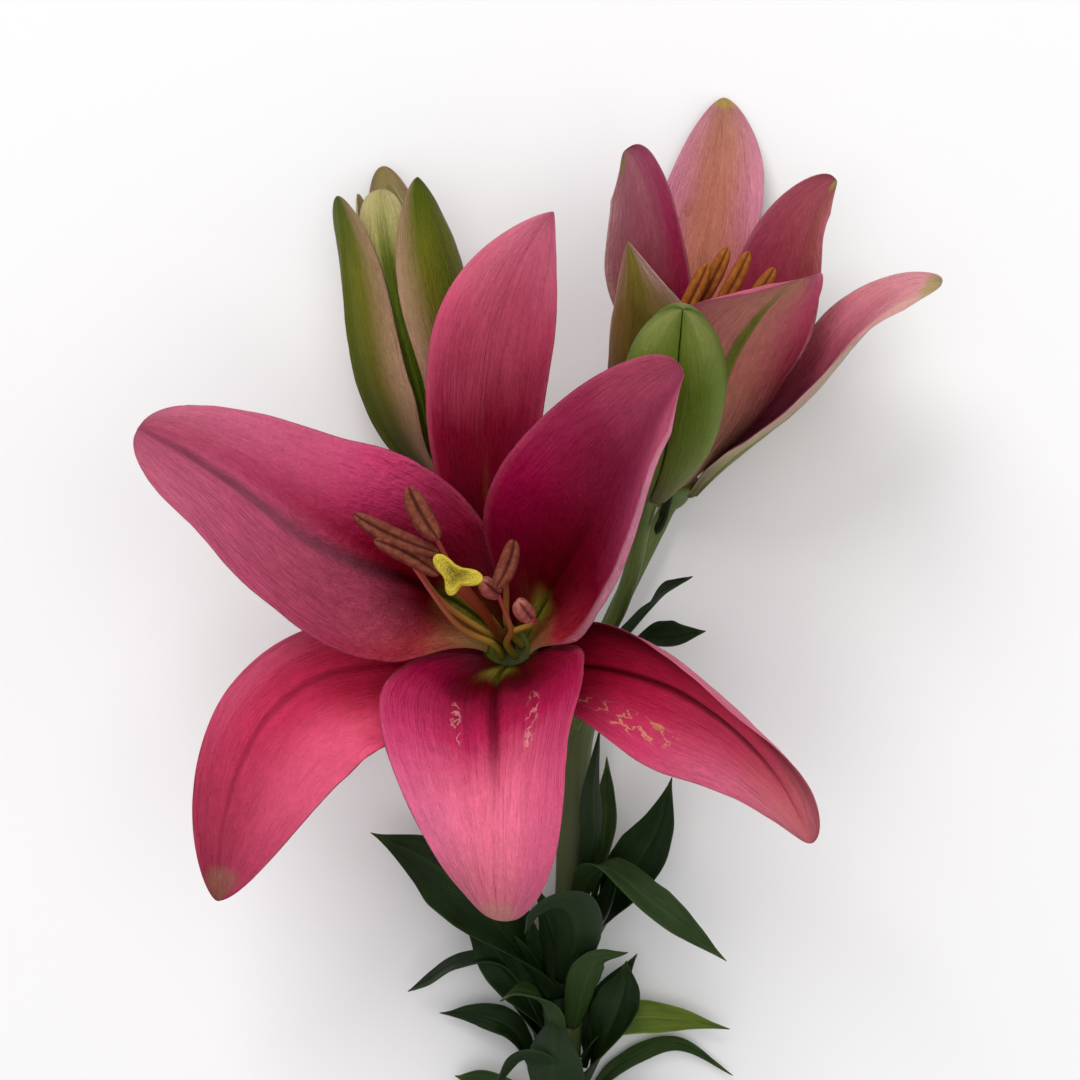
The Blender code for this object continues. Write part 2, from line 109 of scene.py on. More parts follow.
def skin(name, node, place, u, w, material):
    """A closed skin whose point (u, w) is place(u, w), with w running once round the piece."""
    bm = bmesh.new()
    bmesh.ops.create_grid(bm, x_segments=len(u) - 1, y_segments=len(w) - 1, size=1)
    bm.verts.ensure_lookup_table()
    at = [(round((vert.co.x + 1) / 2 * (len(u) - 1)), round((vert.co.y + 1) / 2 * (len(w) - 1)))
          for vert in bm.verts]
    points = place(*np.meshgrid(u, w, indexing="ij"))
    layer = bm.loops.layers.uv.new("skin")
    for face in bm.faces:
        for loop in face.loops:
            i, j = at[loop.vert.index]
            loop[layer].uv = (u[i], w[j])
    for vert, spot in zip(bm.verts, at):
        vert.co = points[spot]
    bmesh.ops.remove_doubles(bm, verts=bm.verts, dist=WELD)
    bmesh.ops.holes_fill(bm, edges=[edge for edge in bm.edges if edge.is_boundary], sides=0)
    bmesh.ops.recalc_face_normals(bm, faces=bm.faces)
    return put_in(name, node, bm, material)


def put_in(name, node, bm, material):
    """Moves a drawing in millimetres to its place in the frame and lets it stand for its node."""
    bmesh.ops.translate(bm, vec=tuple(-CENTRE), verts=bm.verts)
    bmesh.ops.scale(bm, vec=(0.001, 0.001, 0.001), verts=bm.verts)
    for face in bm.faces:
        face.smooth = True
    mesh = bpy.data.meshes.new(name)
    bm.to_mesh(mesh)
    bm.free()
    piece = bpy.data.objects.new(name, mesh)
    scene.collection.objects.link(piece)
    piece.data.materials.append(material)
    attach(piece, "root")
    if node in SLOTS:
        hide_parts(node)
    return piece


def carried(first, ahead):
    """The direction first, carried along a line whose own directions are ahead, without a twist."""
    rows = [unit(first - np.dot(first, ahead[0]) * ahead[0])]
    for step in ahead[1:]:
        rows.append(unit(rows[-1] - np.dot(rows[-1], step) * step))
    return np.array(rows)


def read_off(u, s, rows):
    """Points or directions that are known at the places s of a line, read at u."""
    return [np.stack([np.interp(u, s, row[:, k]) for k in range(3)], axis=-1) for row in rows]


def rod(line, radii, ribs=0):
    """place(u, w) for a round bar along a smooth line, with flat ends and nine faint ribs."""
    s = steps(121)
    points = along(line, s)
    ahead = unit(np.gradient(points, axis=0))
    across = carried(np.cross(ahead[0], (0.1, 0.2, 1)), ahead)
    rows = (points, across, np.cross(ahead, across))

    def place(u, w):
        closed = np.sqrt(held(1 - np.abs(2 * u - 1) ** END_SHARPNESS))
        turn = 2 * math.pi * w
        r = along(radii, u) * closed * (1 + ribs * np.cos(9 * turn))
        at, side, up = read_off(u, s, rows)
        return at + (r * np.cos(turn))[..., None] * side + (r * np.sin(turn))[..., None] * up

    return place


class Tone:
    """A number that changes over a surface. Sums, products and the like add Math nodes."""

    def __init__(self, tree, socket=None):
        self.tree, self.socket = tree, socket

    def node(self, kind, inputs=(), out=0, stops=None, **settings):
        """Any other node, by its type: its settings first, then its inputs by name or number."""
        made = self.tree.nodes.new("ShaderNode" + kind)
        for key, value in settings.items():
            setattr(made, key, value)
        for number, (place, colour) in enumerate(stops or ()):
            ends = made.color_ramp.elements
            stop = ends[number] if number < 2 else ends.new(place)
            stop.position, stop.color = place, (*colour, 1)
        for key, value in dict(inputs).items():
            if isinstance(value, Tone):
                self.tree.links.new(value.socket, made.inputs[key])
            else:
                made.inputs[key].default_value = value
        return Tone(self.tree, made.outputs[out])

    def out(self, number):
        return Tone(self.tree, self.socket.node.outputs[number])

    def math(self, operation, *numbers):
        return self.node("Math", enumerate(numbers), operation=operation)

    __add__ = __radd__ = lambda self, other: self.math("ADD", self, other)
    __mul__ = __rmul__ = lambda self, other: self.math("MULTIPLY", self, other)
    __sub__ = lambda self, other: self.math("SUBTRACT", self, other)
    __rsub__ = lambda self, other: self.math("SUBTRACT", other, self)
    __pow__ = lambda self, other: self.math("POWER", self, other)
    __abs__ = lambda self: self.math("ABSOLUTE", self)

    def ease(self, low, high):
        """0 below low, 1 above high, smooth between; the other way round when low is higher."""
        return self.node("MapRange", {0: self, 1: low, 2: high}, interpolation_type="SMOOTHSTEP")

    def mix(self, none, full):
        """The colour none where this number is 0, and full where it is 1."""
        pair = [c if isinstance(c, Tone) else (*c, 1) for c in (none, full)]
        return self.node("Mix", {0: self, 6: pair[0], 7: pair[1]}, 2, data_type="RGBA")

    def ramp(self, colours):
        """Colours spread evenly from 0 to 1."""
        last = len(colours) - 1
        order = [0, last] + list(range(1, last))
        stops = [(i / last, colours[i]) for i in order]
        return self.node("ValToRGB", {0: self}, stops=stops)

    def grain(self, x, y, z=0, detail=3, rough=0.5):
        """Soft noise around 0.5, read at the point x, y, z, one cell to a unit."""
        at = self.node("CombineXYZ", {0: x, 1: y, 2: z})
        return at.speckle(1, detail, rough)

    def speckle(self, scale, detail=2, rough=0.5):
        """Noise at this place, with scale cells to a unit."""
        return self.node("TexNoise", {0: self, 2: scale, 3: detail, 4: rough})


def finish_start(name, roughness, shine=0.25):
    """A new material: its shader, its two running coordinates u and w, and the place in space."""
    material = bpy.data.materials.new(name)
    material.use_nodes = True
    tree = material.node_tree
    shader = tree.nodes["Principled BSDF"]
    shader.inputs["Roughness"].default_value = roughness
    shader.inputs["Specular IOR Level"].default_value = shine
    start = Tone(tree)
    skin_map = start.node("UVMap", uv_map="skin")
    u = start.node("SeparateXYZ", {0: skin_map})
    space = start.node("TexCoord", out=3)
    return material, shader, u, u.out(1), space


def scaled(amount, colour):
    return tuple(amount * c for c in colour)


def plug(shader, key, tone):
    tone.tree.links.new(tone.socket, shader.inputs[key])


def relieve(shader, height, strength, distance):
    """Fine relief that is too small for the mesh. distance: its depth in metres."""
    bump = {"Height": height, "Strength": strength, "Distance": distance}
    plug(shader, "Normal", height.node("Bump", bump))


def stalk_finish(name, low, high, flecks, seed, start=None, crown=None):
    """Green rind, streaked lengthwise, from low to high in colour. start, crown: its two ends."""
    material, shader, u, w, space = finish_start(name, 0.42, shine=0.3)
    streak = u.grain(u * 5, w * 26, seed, 4)
    blotch = u.grain(u * 9, w * 3, seed + 4, 3)
    colour = u.ramp([low, high])
    colour = (streak.ease(0.35, 0.7) * 0.55).mix(colour, flecks)
    colour = (blotch.ease(0.55, 0.75) * 0.5).mix(colour, scaled(0.45, low))
    if crown:
        colour = u.ease(0.93, 0.97).mix(colour, crown)
    if start:
        colour = u.ease(0.003, 0.001).mix(colour, start)
    plug(shader, "Base Color", colour)
    fine = space.speckle(900)
    plug(shader, "Roughness", 0.36 + streak * 0.2)
    height = streak * 0.7 + fine * 0.3
    relieve(shader, height, 0.5, 0.0006)
    return material


ROUND = steps(41)
STEM_RIND = stalk_finish("stem_rind", (0.035, 0.055, 0.01), (0.11, 0.14, 0.04),
                         (0.085, 0.105, 0.04), 3, start=(0.42, 0.44, 0.2))
STEM_LONG = np.concatenate([[0, 0.003], np.linspace(0.01, 0.99, 157), [0.997, 1]])
skin("stem_rind", "stem", rod(STEM_LINE, STEM_RADII, 0.02), STEM_LONG, ROUND, STEM_RIND)

# Flower stalks --------------------------------------------------------------------------
# Four thinner green stalks leave the head of the stem. Each flares into a receptacle, with
# a step on which the petals of its flower or bud are seated.
OPEN_BASE, OPEN_AXIS = (-7, -27.3, 28), (-0.17, 0.3, 0.94)
HALF_BASE, HALF_AXIS = (33.5, 14.2, 7), (0.1, 0.84, 0.53)
LEFT_BASE, LEFT_AXIS = (-24, 16.7, 14.6), (-0.23, 0.97, 0.05)
SMALL_BASE, SMALL_AXIS = (26.4, 12.3, 50), (0.09, 0.65, 0.75)
STALK_RIND = stalk_finish("stalk_rind", (0.07, 0.105, 0.018), (0.085, 0.13, 0.018),
                          (0.13, 0.17, 0.035), 11, crown=(0.09, 0.11, 0.006))
STALK_LONG = steps(91)


def flower_frame(axis):
    """Sideways, upwards and forwards directions of a flower that points along axis."""
    forward = unit(np.asarray(axis, float))
    side = unit(np.array([1, 0, 0]) - forward[0] * forward)
    return side, np.cross(forward, side), forward


def stalk(name, points, base, axis, slim):
    forward = flower_frame(axis)[2]
    base = np.asarray(base, float)
    line = list(along([np.asarray(p, float) for p in points] + [base - 7 * forward],
                      steps(9)))
    line += [base + h * forward for h in (-4, -1.5, 0.6, 1.8, 3)]
    radii = [slim] * 9 + [4.6, 5.6, 6.6, 7, 6.2]
    skin(name + "_rind", name, rod(line, radii), STALK_LONG, ROUND, STALK_RIND)


stalk("open_flower_stalk", [(10, -48, 15.9), (4, -44, 15.5), (-2, -38, 17)], OPEN_BASE, OPEN_AXIS,
      2.3)
stalk("half_open_flower_stalk", [(16.7, -24, 9.2), (21, -15, 7.5), (27, -3, 5.5)], HALF_BASE,
      HALF_AXIS, 2.2)
skin("left_bud_stalk_rind", "left_bud_stalk",
     rod([(8.7, -37, 13.6), (1, -22, 14), (-9, -6, 14), (-17.5, 4, 14.2), (-22.6, 11, 14.4),
          (-23.9, 16.2, 14.6)], [2, 2, 2, 2, 2.4, 3]), STALK_LONG, ROUND, STALK_RIND)
skin("small_bud_stalk_rind", "small_bud_stalk",
     rod([(16.8, -24.4, 13.4), (20, -17, 18), (23, -7, 28), (25, 4, 38), (26.5, 13.3, 51.1)],
         [1.7, 2.1, 2.1, 2.2, 3]), STALK_LONG, ROUND, STALK_RIND)

# Leaves ---------------------------------------------------------------------------------
# Narrow stalkless leaves that spiral down the stem, leathery and dark, with fine veins that
# all run lengthwise, a shallow channel down the middle and a paler underside.
MARGINS = np.sin(np.linspace(-1, 1, 25) * math.pi / 2)
LEAF_ROUND = np.concatenate([(MARGINS + 1) / 4, (3 - MARGINS[-2::-1]) / 4])
LEAF_LONG = 1 - (1 - steps(61)) ** 1.25
LEAF_THICK, LEAF_KEEL, LEAF_CUP = 0.7, 0.25, math.radians(35)


def both_sides(surface, thick, keel=0):
    """place(u, w) for a thin blade round surface(u, v), upper side first, v from -1 to 1."""

    def place(u, w):
        v = 1 - np.abs(4 * w - 2)
        middle = w.shape[1] // 2
        points = surface(u[:, :middle + 1], v[:, :middle + 1])
        normal = unit(np.cross(np.gradient(points, axis=0), np.gradient(points, axis=1)))
        points = np.concatenate([points, points[:, -2::-1]], axis=1)
        normal = np.concatenate([normal, normal[:, -2::-1]], axis=1)
        half = thick / 2 * np.sqrt(held(1 - v**6)) * held((1 - u) * 12) ** 0.5
        rib = keel * bell(v / 0.09) * (1 - u) ** 0.6
        out = np.where(w <= 0.5, half, -half - rib)
        return points + out[..., None] * normal

    return place


def ripple(u, v, seed, along_cells, across_cells):
    """Soft noise from -1 to 1 over a petal or leaf."""
    read = np.vectorize(lambda a, b: noise.noise((a, b, seed)))
    return read(u * along_cells, v * across_cells)


def turned(line, across, face, degrees):
    """A line with its two sideways directions, turned about it by degrees."""
    turn = np.radians(degrees)[:, None]
    return (line, np.cos(turn) * across + np.sin(turn) * face,
            np.cos(turn) * face - np.sin(turn) * across)


def cupped(half, wrap, v):
    """Sideways and upward places at v on an arc that is half long and turns by wrap each way."""
    return half * np.sin(wrap * v) / wrap, half * (1 - np.cos(wrap * v)) / wrap


def blade(name, points, face, width, finish, twist=(0, 0), seed=0):
    """A long leaf through points, its upper side first turned to face."""
    s = steps(61)
    line = along(points, s)
    ahead = unit(np.gradient(line, axis=0))
    faces = carried(face, ahead)
    rows = turned(line, np.cross(faces, ahead), faces, along(twist, s))

    def surface(u, v):
        rise = 0.42 + 0.58 * np.sin(math.pi / 2 * held(u / 0.45))
        fall = np.cos(math.pi / 2 * held((u - 0.45) / 0.55)) ** 1.3
        half = width / 2 * np.where(u < 0.45, rise, fall)
        half = half * (1 + 0.06 * ripple(u, np.sign(v), seed, 9, 3))
        at, side, up = read_off(u, s, rows)
        x, z = cupped(half, LEAF_CUP * (1 - 0.4 * u), v)
        z = z - 0.35 * bell(v / 0.1) * np.minimum(1, 4 * (1 - u))
        z = z + 0.05 * np.cos(v * 22) * (1 - v * v) + 0.25 * v**2 * ripple(u, v, seed, 7, 1)
        return at + x[..., None] * side + z[..., None] * up

    return skin(name + "_blade", name, both_sides(surface, LEAF_THICK, LEAF_KEEL), LEAF_LONG,
                LEAF_ROUND, finish)


def leaf_finish(name, deep, light, tip, seed):
    material, shader, u, w, space = finish_start(name, 0.38, shine=0.2)
    v = 1 - abs(w * 4 - 2)
    under = w.ease(0.499, 0.501)
    veins = v.math("SINE", v * 95) * 0.5 + 0.5
    cloud = u.grain(u * 6, v * 3, seed, 4)
    streak = u.grain(u * 3, v * 40, seed + 3, 3)
    colour = (cloud.ease(0.3, 0.75) * 0.7).mix(deep, light)
    colour = (veins.ease(0.55, 1) * 0.22 + streak.ease(0.5, 0.8) * 0.25).mix(colour, light)
    colour = (abs(v).ease(0.1, 0) * 0.5).mix(colour, scaled(1.6, light))
    colour = (abs(v).ease(0.93, 1) * 0.5).mix(colour, scaled(1.9, light))
    colour = (u.ease(0.86, 1) * 0.8).mix(colour, tip)
    pale = tuple(0.5 * (a + b) + 0.007 for a, b in zip(deep, light))
    colour = (under * 0.75).mix(colour, pale)
    plug(shader, "Base Color", colour)
    plug(shader, "Roughness", 0.34 + cloud * 0.22)
    fine = space.speckle(1400)
    height = veins * 0.6 + streak * 0.35 + fine * 0.12
    relieve(shader, height, 0.45, 0.0004)
    return material


DARK_LEAF = leaf_finish("dark_leaf", (0.005, 0.016, 0.002), (0.017, 0.042, 0.007),
                        (0.05, 0.08, 0.012), 1)
GREEN_LEAF = leaf_finish(
    "green_leaf", (0.013, 0.034, 0.004), (0.04, 0.078, 0.014), (0.09, 0.12, 0.02), 7)
YELLOW_LEAF = leaf_finish(
    "yellow_leaf", (0.085, 0.13, 0.014), (0.15, 0.21, 0.02), (0.03, 0.07, 0.03), 5)


def leaf(name, stem_y, around, points, width, twist=(0, 0), seed=0, finish=DARK_LEAF):
    """A leaf from the stem at stem_y. around: where on the stem, 0 right, 90 up, 180 left."""
    y = [p[1] for p in STEM_LINE]
    foot = np.array([np.interp(stem_y, y, [p[k] for p in STEM_LINE]) for k in (0, 1, 2)])
    foot[1] = stem_y
    a = math.radians(around)
    out = np.array([math.cos(a), 0, math.sin(a)])
    foot += (np.interp(stem_y, y, STEM_RADII) + 1.25) * out
    return blade(name, [tuple(foot)] + points, -out, width, finish, twist, seed)


blade("leaf_bract", [(28.4, 2, 38), (30.2, 5, 42), (31.5, 10, 44), (33, 16, 44)],
      (-1, 0, 0.3), 5, GREEN_LEAF)
leaf("leaf_fork_upper", -28, 50, [(27, -17, 23), (32, -12, 27), (38, -9, 28)], 8, (0, 45, 60), 1.3)
leaf("leaf_fork_lower", -31, 20, [(28, -25, 16), (35, -24, 18), (42, -23, 17)], 9, (0, 45, 60), 2.1)
leaf("leaf_right_1", -88, 60, [(13, -75, 20), (13, -62, 24), (15, -47, 23)], 7, seed=3.2)
leaf("leaf_right_2", -93, 10, [(16, -80, 11), (17, -67, 12), (17, -55, 12)], 8, (0, 60, 90), 4.4,
     finish=GREEN_LEAF)
leaf("leaf_right_3", -105, 30, [(18, -94, 13), (25, -81, 17), (30, -71, 21), (33, -59, 25)], 15,
     (0, 90, 115), 5.7)
leaf("leaf_right_4", -92, 75, [(15, -81, 27), (27, -89, 32), (37, -97, 28), (47, -106, 20)], 11,
     (0, 45, 75), 6.1, finish=GREEN_LEAF)
leaf("leaf_left_1", -117, 140, [(-7, -102, 17), (-18, -89, 19), (-30, -80, 18), (-43, -74, 16)], 21,
     (0, -100, -115), 7.9)
leaf("leaf_left_2", -123, 200, [(-9, -105, 4), (-20, -89, 4.5), (-30, -76, 5)], 10, seed=8.3,
     finish=GREEN_LEAF)
leaf("leaf_left_3", -127, 160, [(-9, -108, 16), (-20, -107, 16), (-28, -112, 11), (-34, -116, 6)],
     8, (0, -25, -60), 9.6)
leaf("leaf_left_4", -134, 120, [(2, -117, 24), (-5, -112, 29), (-10, -115, 26)], 10, (0, -25, -30),
     10.2, finish=GREEN_LEAF)
leaf("leaf_left_5", -143, 185, [(-6, -127, 7), (-15, -122, 7), (-26, -122, 3)], 9, (0, -40, -60),
     11.8)
leaf("leaf_front_1", -113, 95, [(9, -98, 27), (6, -90, 35), (0, -91, 37), (-4, -97, 34)], 15,
     seed=12.5)
leaf("leaf_right_5", -124, 70, [(11, -112, 21), (14, -105, 25), (22, -103, 25)], 10, seed=13.1,
     finish=GREEN_LEAF)
leaf("leaf_right_6", -141, 35, [(17, -126, 14), (21, -115, 13), (22, -107, 12)], 14, (0, 85, 110),
     14.7)
leaf("leaf_right_7", -134, -20, [(20, -124, 5), (34, -123, 5), (49, -126, 4)], 9, (0, 50, 70), 15.3,
     finish=YELLOW_LEAF)
leaf("leaf_right_8", -147, -30, [(20, -136, 2.4), (35, -130, 2.2), (50, -138.5, 1.5)], 5,
     (0, 40, 60), 16.9, finish=GREEN_LEAF)
leaf("leaf_front_2", -147, 110, [(1, -133, 20), (-5, -130, 22), (-13, -141, 15)], 11, (0, -20, -30),
     17.4)
leaf("leaf_right_9", -165, 60, [(13, -150, 17), (24, -145, 22), (37, -152, 18)], 11, (0, 45, 60),
     18.2)
leaf("leaf_left_6", -172, 150, [(-7, -158, 14), (-22, -152, 17), (-38, -160, 12)], 11,
     (0, -45, -60), 19.6)

for number, row in enumerate((
        (-118, 60, [(12, -105, 16), (17, -92, 18), (20, -80, 18)], 15, (0, 60, 90)),
        (-128, 150, [(-4, -115, 14), (-12, -103, 15), (-20, -95, 15)], 15, (0, -90, -115)),
        (-135, 20, [(14, -125, 7), (19, -115, 7), (25, -106, 7)], 10, (0, 90, 110)),
        (-137, 150, [(-2, -120, 9), (-5, -104, 10), (-5, -88, 10)], 17, (0, -90, -118)),
        (-120, 90, [(6, -108, 13), (3, -98, 14), (-1, -88, 14)], 13, (0, -30, -30)),
        (-150, 100, [(4, -138, 20), (3, -127, 23), (4, -117, 20)], 15, (0, 0, 0)),
        (-160, 190, [(-6, -148, 6), (-14, -140, 6), (-22, -138, 4)], 13, (0, -80, -100), GREEN_LEAF),
        (-163, -10, [(18, -152, 5), (26, -146, 5), (34, -147, 4)], 13, (0, 80, 100)))):
    leaf("leaf_more_%d" % (number + 1), *row[:5], 21 + number, *row[5:])

# Petals of the open flower --------------------------------------------------------------
# Six fleshy petals curved back from the throat: three broad inner ones and three narrower
# outer ones. Each is grooved down its middle, crimson at the throat and pink at the tip.
PINK_TIP, BLUSH, PINK = (0.86, 0.24, 0.33), (0.7, 0.15, 0.24), (0.56, 0.095, 0.175)
ROSE, CRIMSON, WINE = (0.44, 0.045, 0.105), (0.25, 0.006, 0.035), (0.14, 0.001, 0.012)
MAROON, OLIVE = (0.07, 0.001, 0.003), (0.1, 0.1, 0.012)
ACROSS = np.linspace(-1, 1, 49)
ACROSS = ACROSS * (1.3 - 0.3 * ACROSS**2)
PETAL_ROUND = np.concatenate([(ACROSS + 1) / 4, (3 - ACROSS[-2::-1]) / 4])
EVEN = steps(131)
PETAL_THICK = 0.85
PETAL_LONG = 0.25 * EVEN + 0.75 * (2 * EVEN - EVEN**2)


def relief(seed, groove, pleats, ruffle, crumple, curl=(0, 0), bumps=()):
    """How far a petal's face stands proud, in mm. curl: how far its two margins turn back."""

    def height(u, v):
        h = -groove * bell(v / 0.055) * held(5 * u) * (1 - u) ** 0.35
        h += 0.5 * groove * bell((np.abs(v) - 0.13) / 0.07) * held(4 * u) * (1 - u)
        wave = np.cos(v * 24 + 3 * ripple(u, v, seed + 5, 2, 1))
        h += pleats * wave * (1 - v**2) * held(3 * u)
        h += ruffle * np.abs(v) ** 5 * ripple(u, np.sign(v), seed + 2, 7, 3) * held(4 * u - 0.6)
        h += crumple * ripple(u, v, seed, 11, 4) * held(3 * u)
        h += 0.45 * crumple * ripple(u, v, seed + 8, 26, 11) * held(3 * u)
        for amount, edge in zip(curl, (v, -v)):
            h -= amount * held((edge - 0.62) / 0.38) ** 2 * held(5 * u - 0.7)
        for bump_u, bump_v, long, wide, tall in bumps:
            h += tall * np.exp(-((u - bump_u) / long) ** 2 - ((v - bump_v) / wide) ** 2)
        return h

    return height


def petal(name, base, axis, ring, azimuth, length, lean, cup, width, widest, tip, finish, face,
          sweep=(0, 0, 0), twist=(0, 0, 0), skew=0, claw=0.2, lift=0, plus=(1, 1), minus=(1, 1),
          keel=0.5):
    """A petal. lean: tilt away from the flower's axis, base to tip. sweep: sideways bend.

    twist: turn of the blade about its rib. cup: half the angle the blade wraps round. claw:
    width of the base, widest: place of the full width. plus, minus: how full each margin is.
    face: its relief.
    """
    side, up, forward = flower_frame(axis)
    a = math.radians(azimuth)
    outward = math.cos(a) * side + math.sin(a) * up
    around = np.cross(forward, outward)
    s = steps(81)
    tilt = np.radians(along(lean, s))[:, None]
    bend = np.radians(along([0, *sweep], s))[:, None]
    away = np.cos(bend) * outward + np.sin(bend) * around
    ahead = np.cos(tilt) * forward + np.sin(tilt) * away
    rib = np.zeros((len(s), 3))
    rib[1:] = np.cumsum((ahead[1:] + ahead[:-1]) / 2, axis=0) * length / 80
    rib += np.asarray(base) + lift * forward + ring * outward
    inward = np.sin(tilt) * forward - np.cos(tilt) * away
    proud = relief(*face)
    rows = turned(rib, np.cross(inward, ahead), inward, along([0, *twist], s))

    def surface(u, v):
        rise = claw + (1 - claw) * np.sin(math.pi / 2 * held(u / widest)) ** 1.3
        fall = np.cos(math.pi / 2 * held((u - widest) / (1 - widest))) ** tip
        full = np.where(v > 0, along(plus, u), along(minus, u))
        half = width / 2 * np.where(u < widest, rise, fall) * (1 + skew * v) * full
        wrap = np.radians(along([50] + cup, u))
        x, z = cupped(half, np.where(np.abs(wrap) < 0.01, 0.01, wrap), v)
        at, sideways, up = read_off(u, s, rows)
        points = at + x[..., None] * sideways + z[..., None] * up
        normal = unit(np.cross(np.gradient(points, axis=0), np.gradient(points, axis=1)))
        return points + (proud(u, v) * held((1 - u) * 12))[..., None] * normal

    return skin(name + "_skin", name, both_sides(surface, PETAL_THICK, keel), PETAL_LONG,
                PETAL_ROUND, finish)


def petal_finish(name, face, back, seed, rib=(MAROON, 0.05, 0.1, 0.8, 0.7),
                 back_rib=(OLIVE, 0.16, 0.7), rim=(BLUSH, 0.18, 0.9), marks_and_highlights=(), crinkle=0.5,
                 throat=0, gloss=0.4):
    """A petal's skin. face, back: colours base to tip, for its plus side, middle and minus side."""
    material, shader, u, w, space = finish_start(name, gloss, shine=0.08)
    v = 1 - abs(w * 4 - 2)
    behind = w.ease(0.4995, 0.5005)
    drift = u.grain(u * 4, v * 2.2, seed, 3)
    lines = u.grain(u * 5, v * 26, seed + 2, 4, 0.6)
    fine = u.grain(u * 14, v * 70, seed + 5, 3, 0.6)
    cells = space.speckle(1500)
    blot = space.speckle(190, 4, 0.6)
    run = u + (drift - 0.5) * 0.22 + (lines - 0.5) * 0.1

    def coloured(sides):
        plus, middle, minus = [run.ramp(colours) for colours in sides]
        lean = v + (drift - 0.5) * 0.3
        return lean.ease(-0.12, -0.85).mix(lean.ease(0.12, 0.85).mix(middle, plus), minus)

    front = coloured(face)
    colour, width, start, end, strength = rib
    reach = u.ease(start, start + 0.12) * u.ease(end, end - 0.3)
    near = abs(v + (drift - 0.5) * 0.04).ease(width * 2.2, width * 0.3)
    front = (near * reach * strength).mix(front, colour)
    if throat:
        star = abs(v).ease(0.36, 0.1) * u.ease(0.27, 0.15) * throat
        front = star.mix(front, (0.36, 0.36, 0.045))
        groove = abs(v).ease(0.1, 0.02) * u.ease(0.27, 0.17) * throat
        front = groove.mix(front, (0.06, 0.07, 0.004))
    rear = coloured(back)
    colour, width, strength = back_rib
    rear = (abs(v).ease(width * 1.5, width * 0.3) * u.ease(1, 0.7) * strength).mix(rear, colour)
    skin_colour = behind.mix(front, rear)
    colour, strength, start = rim
    skin_colour = (abs(v).ease(start, 1) * strength).mix(skin_colour, colour)
    cracks = abs(u.grain(u * 16, v * 6, seed + 9, 4) - 0.5).ease(0.03, 0.006)
    # Marks of the petal's own colour, such as scars and tips, and on left_petal a painted highlight.
    for at_u, at_v, long, wide, colour, strength, ragged in marks_and_highlights:
        near = (((u - at_u) * (1 / long)) ** 2 + ((v - at_v) * (1 / wide)) ** 2).ease(1, 0.25)
        near = near * (1 - ragged + cracks * ragged) * (1 - behind) * strength
        skin_colour = near.mix(skin_colour, colour)
    creases = u.grain(u * 20, v * 13, seed + 7, 5, 0.62)
    # The lines, fine, blot and cells terms vary the tone; the creases term, which also drives the
    # relief, paints shade and sheen along the wrinkles.
    tone_and_crease_shading = 0.97 + lines * 0.14 + (fine - 0.5) * 0.2 + (blot - 0.5) * 0.22
    tone_and_crease_shading = tone_and_crease_shading + (cells - 0.5) * 0.26 + (creases - 0.5) * 0.3
    dim = u.node("VectorMath", {0: skin_colour, 3: tone_and_crease_shading}, operation="SCALE")
    plug(shader, "Base Color", dim)
    plug(shader, "Roughness", gloss - 0.12 + blot * 0.14 + fine * 0.1)
    height = lines * 0.9 + fine * 0.35 + cells * 0.14 + creases * (0.5 + crinkle)
    relieve(shader, height, 0.8, 0.0015)
    return material


PINK_BACK = ([ROSE, PINK, BLUSH, BLUSH, PINK_TIP], [OLIVE, (0.35, 0.1, 0.08), PINK, PINK, BLUSH],
             [ROSE, PINK, BLUSH, BLUSH, PINK_TIP])
# left_petal: its one spot, a soft pale pink patch on the plus side out towards the tip, is a painted
# highlight.
LEFT_PETAL = petal_finish(
    "left_petal",
    ([(0.95, 0.62, 0.22), (0.66, 0.07, 0.09), (0.36, 0.004, 0.045), (0.46, 0.055, 0.13), BLUSH],
     [(0.3, 0.08, 0.01), (0.13, 0, 0.005), (0.24, 0.002, 0.022), (0.42, 0.035, 0.1), PINK],
     [MAROON, (0.26, 0.001, 0.025), (0.56, 0.04, 0.14), (0.62, 0.1, 0.2), (0.7, 0.16, 0.26)]),
    PINK_BACK, 2, ((0.055, 0, 0.003), 0.06, 0.1, 1.1, 0.95), crinkle=1.6, throat=0.9, gloss=0.36,
    marks_and_highlights=((0.72, 0.45, 0.5, 0.75, (0.72, 0.17, 0.29), 0.34, 0),))
# right_petal: darker than the other inner petals, partly its own deep crimson and partly painted
# shade, as this petal leans away from the light.
SHADED_RIGHT_PETAL = petal_finish(
    "right_petal",
    ([WINE, (0.26, 0.001, 0.03), (0.3, 0.002, 0.045), (0.3, 0.018, 0.065), (0.5, 0.08, 0.14)],
     [(0.4, 0.14, 0.02), (0.12, 0, 0.004), (0.15, 0.001, 0.012), (0.21, 0.008, 0.04),
      (0.42, 0.055, 0.12)],
     [(0.95, 0.5, 0.2), (0.62, 0.03, 0.06), (0.2, 0.001, 0.02), (0.38, 0.04, 0.11),
      (0.5, 0.08, 0.15)]), PINK_BACK, 5, (MAROON, 0.06, 0.05, 0.7, 0.5), throat=0.8,
    marks_and_highlights=((0.62, -1, 0.42, 0.16, (0.72, 0.3, 0.4), 0.85, 0.2),))
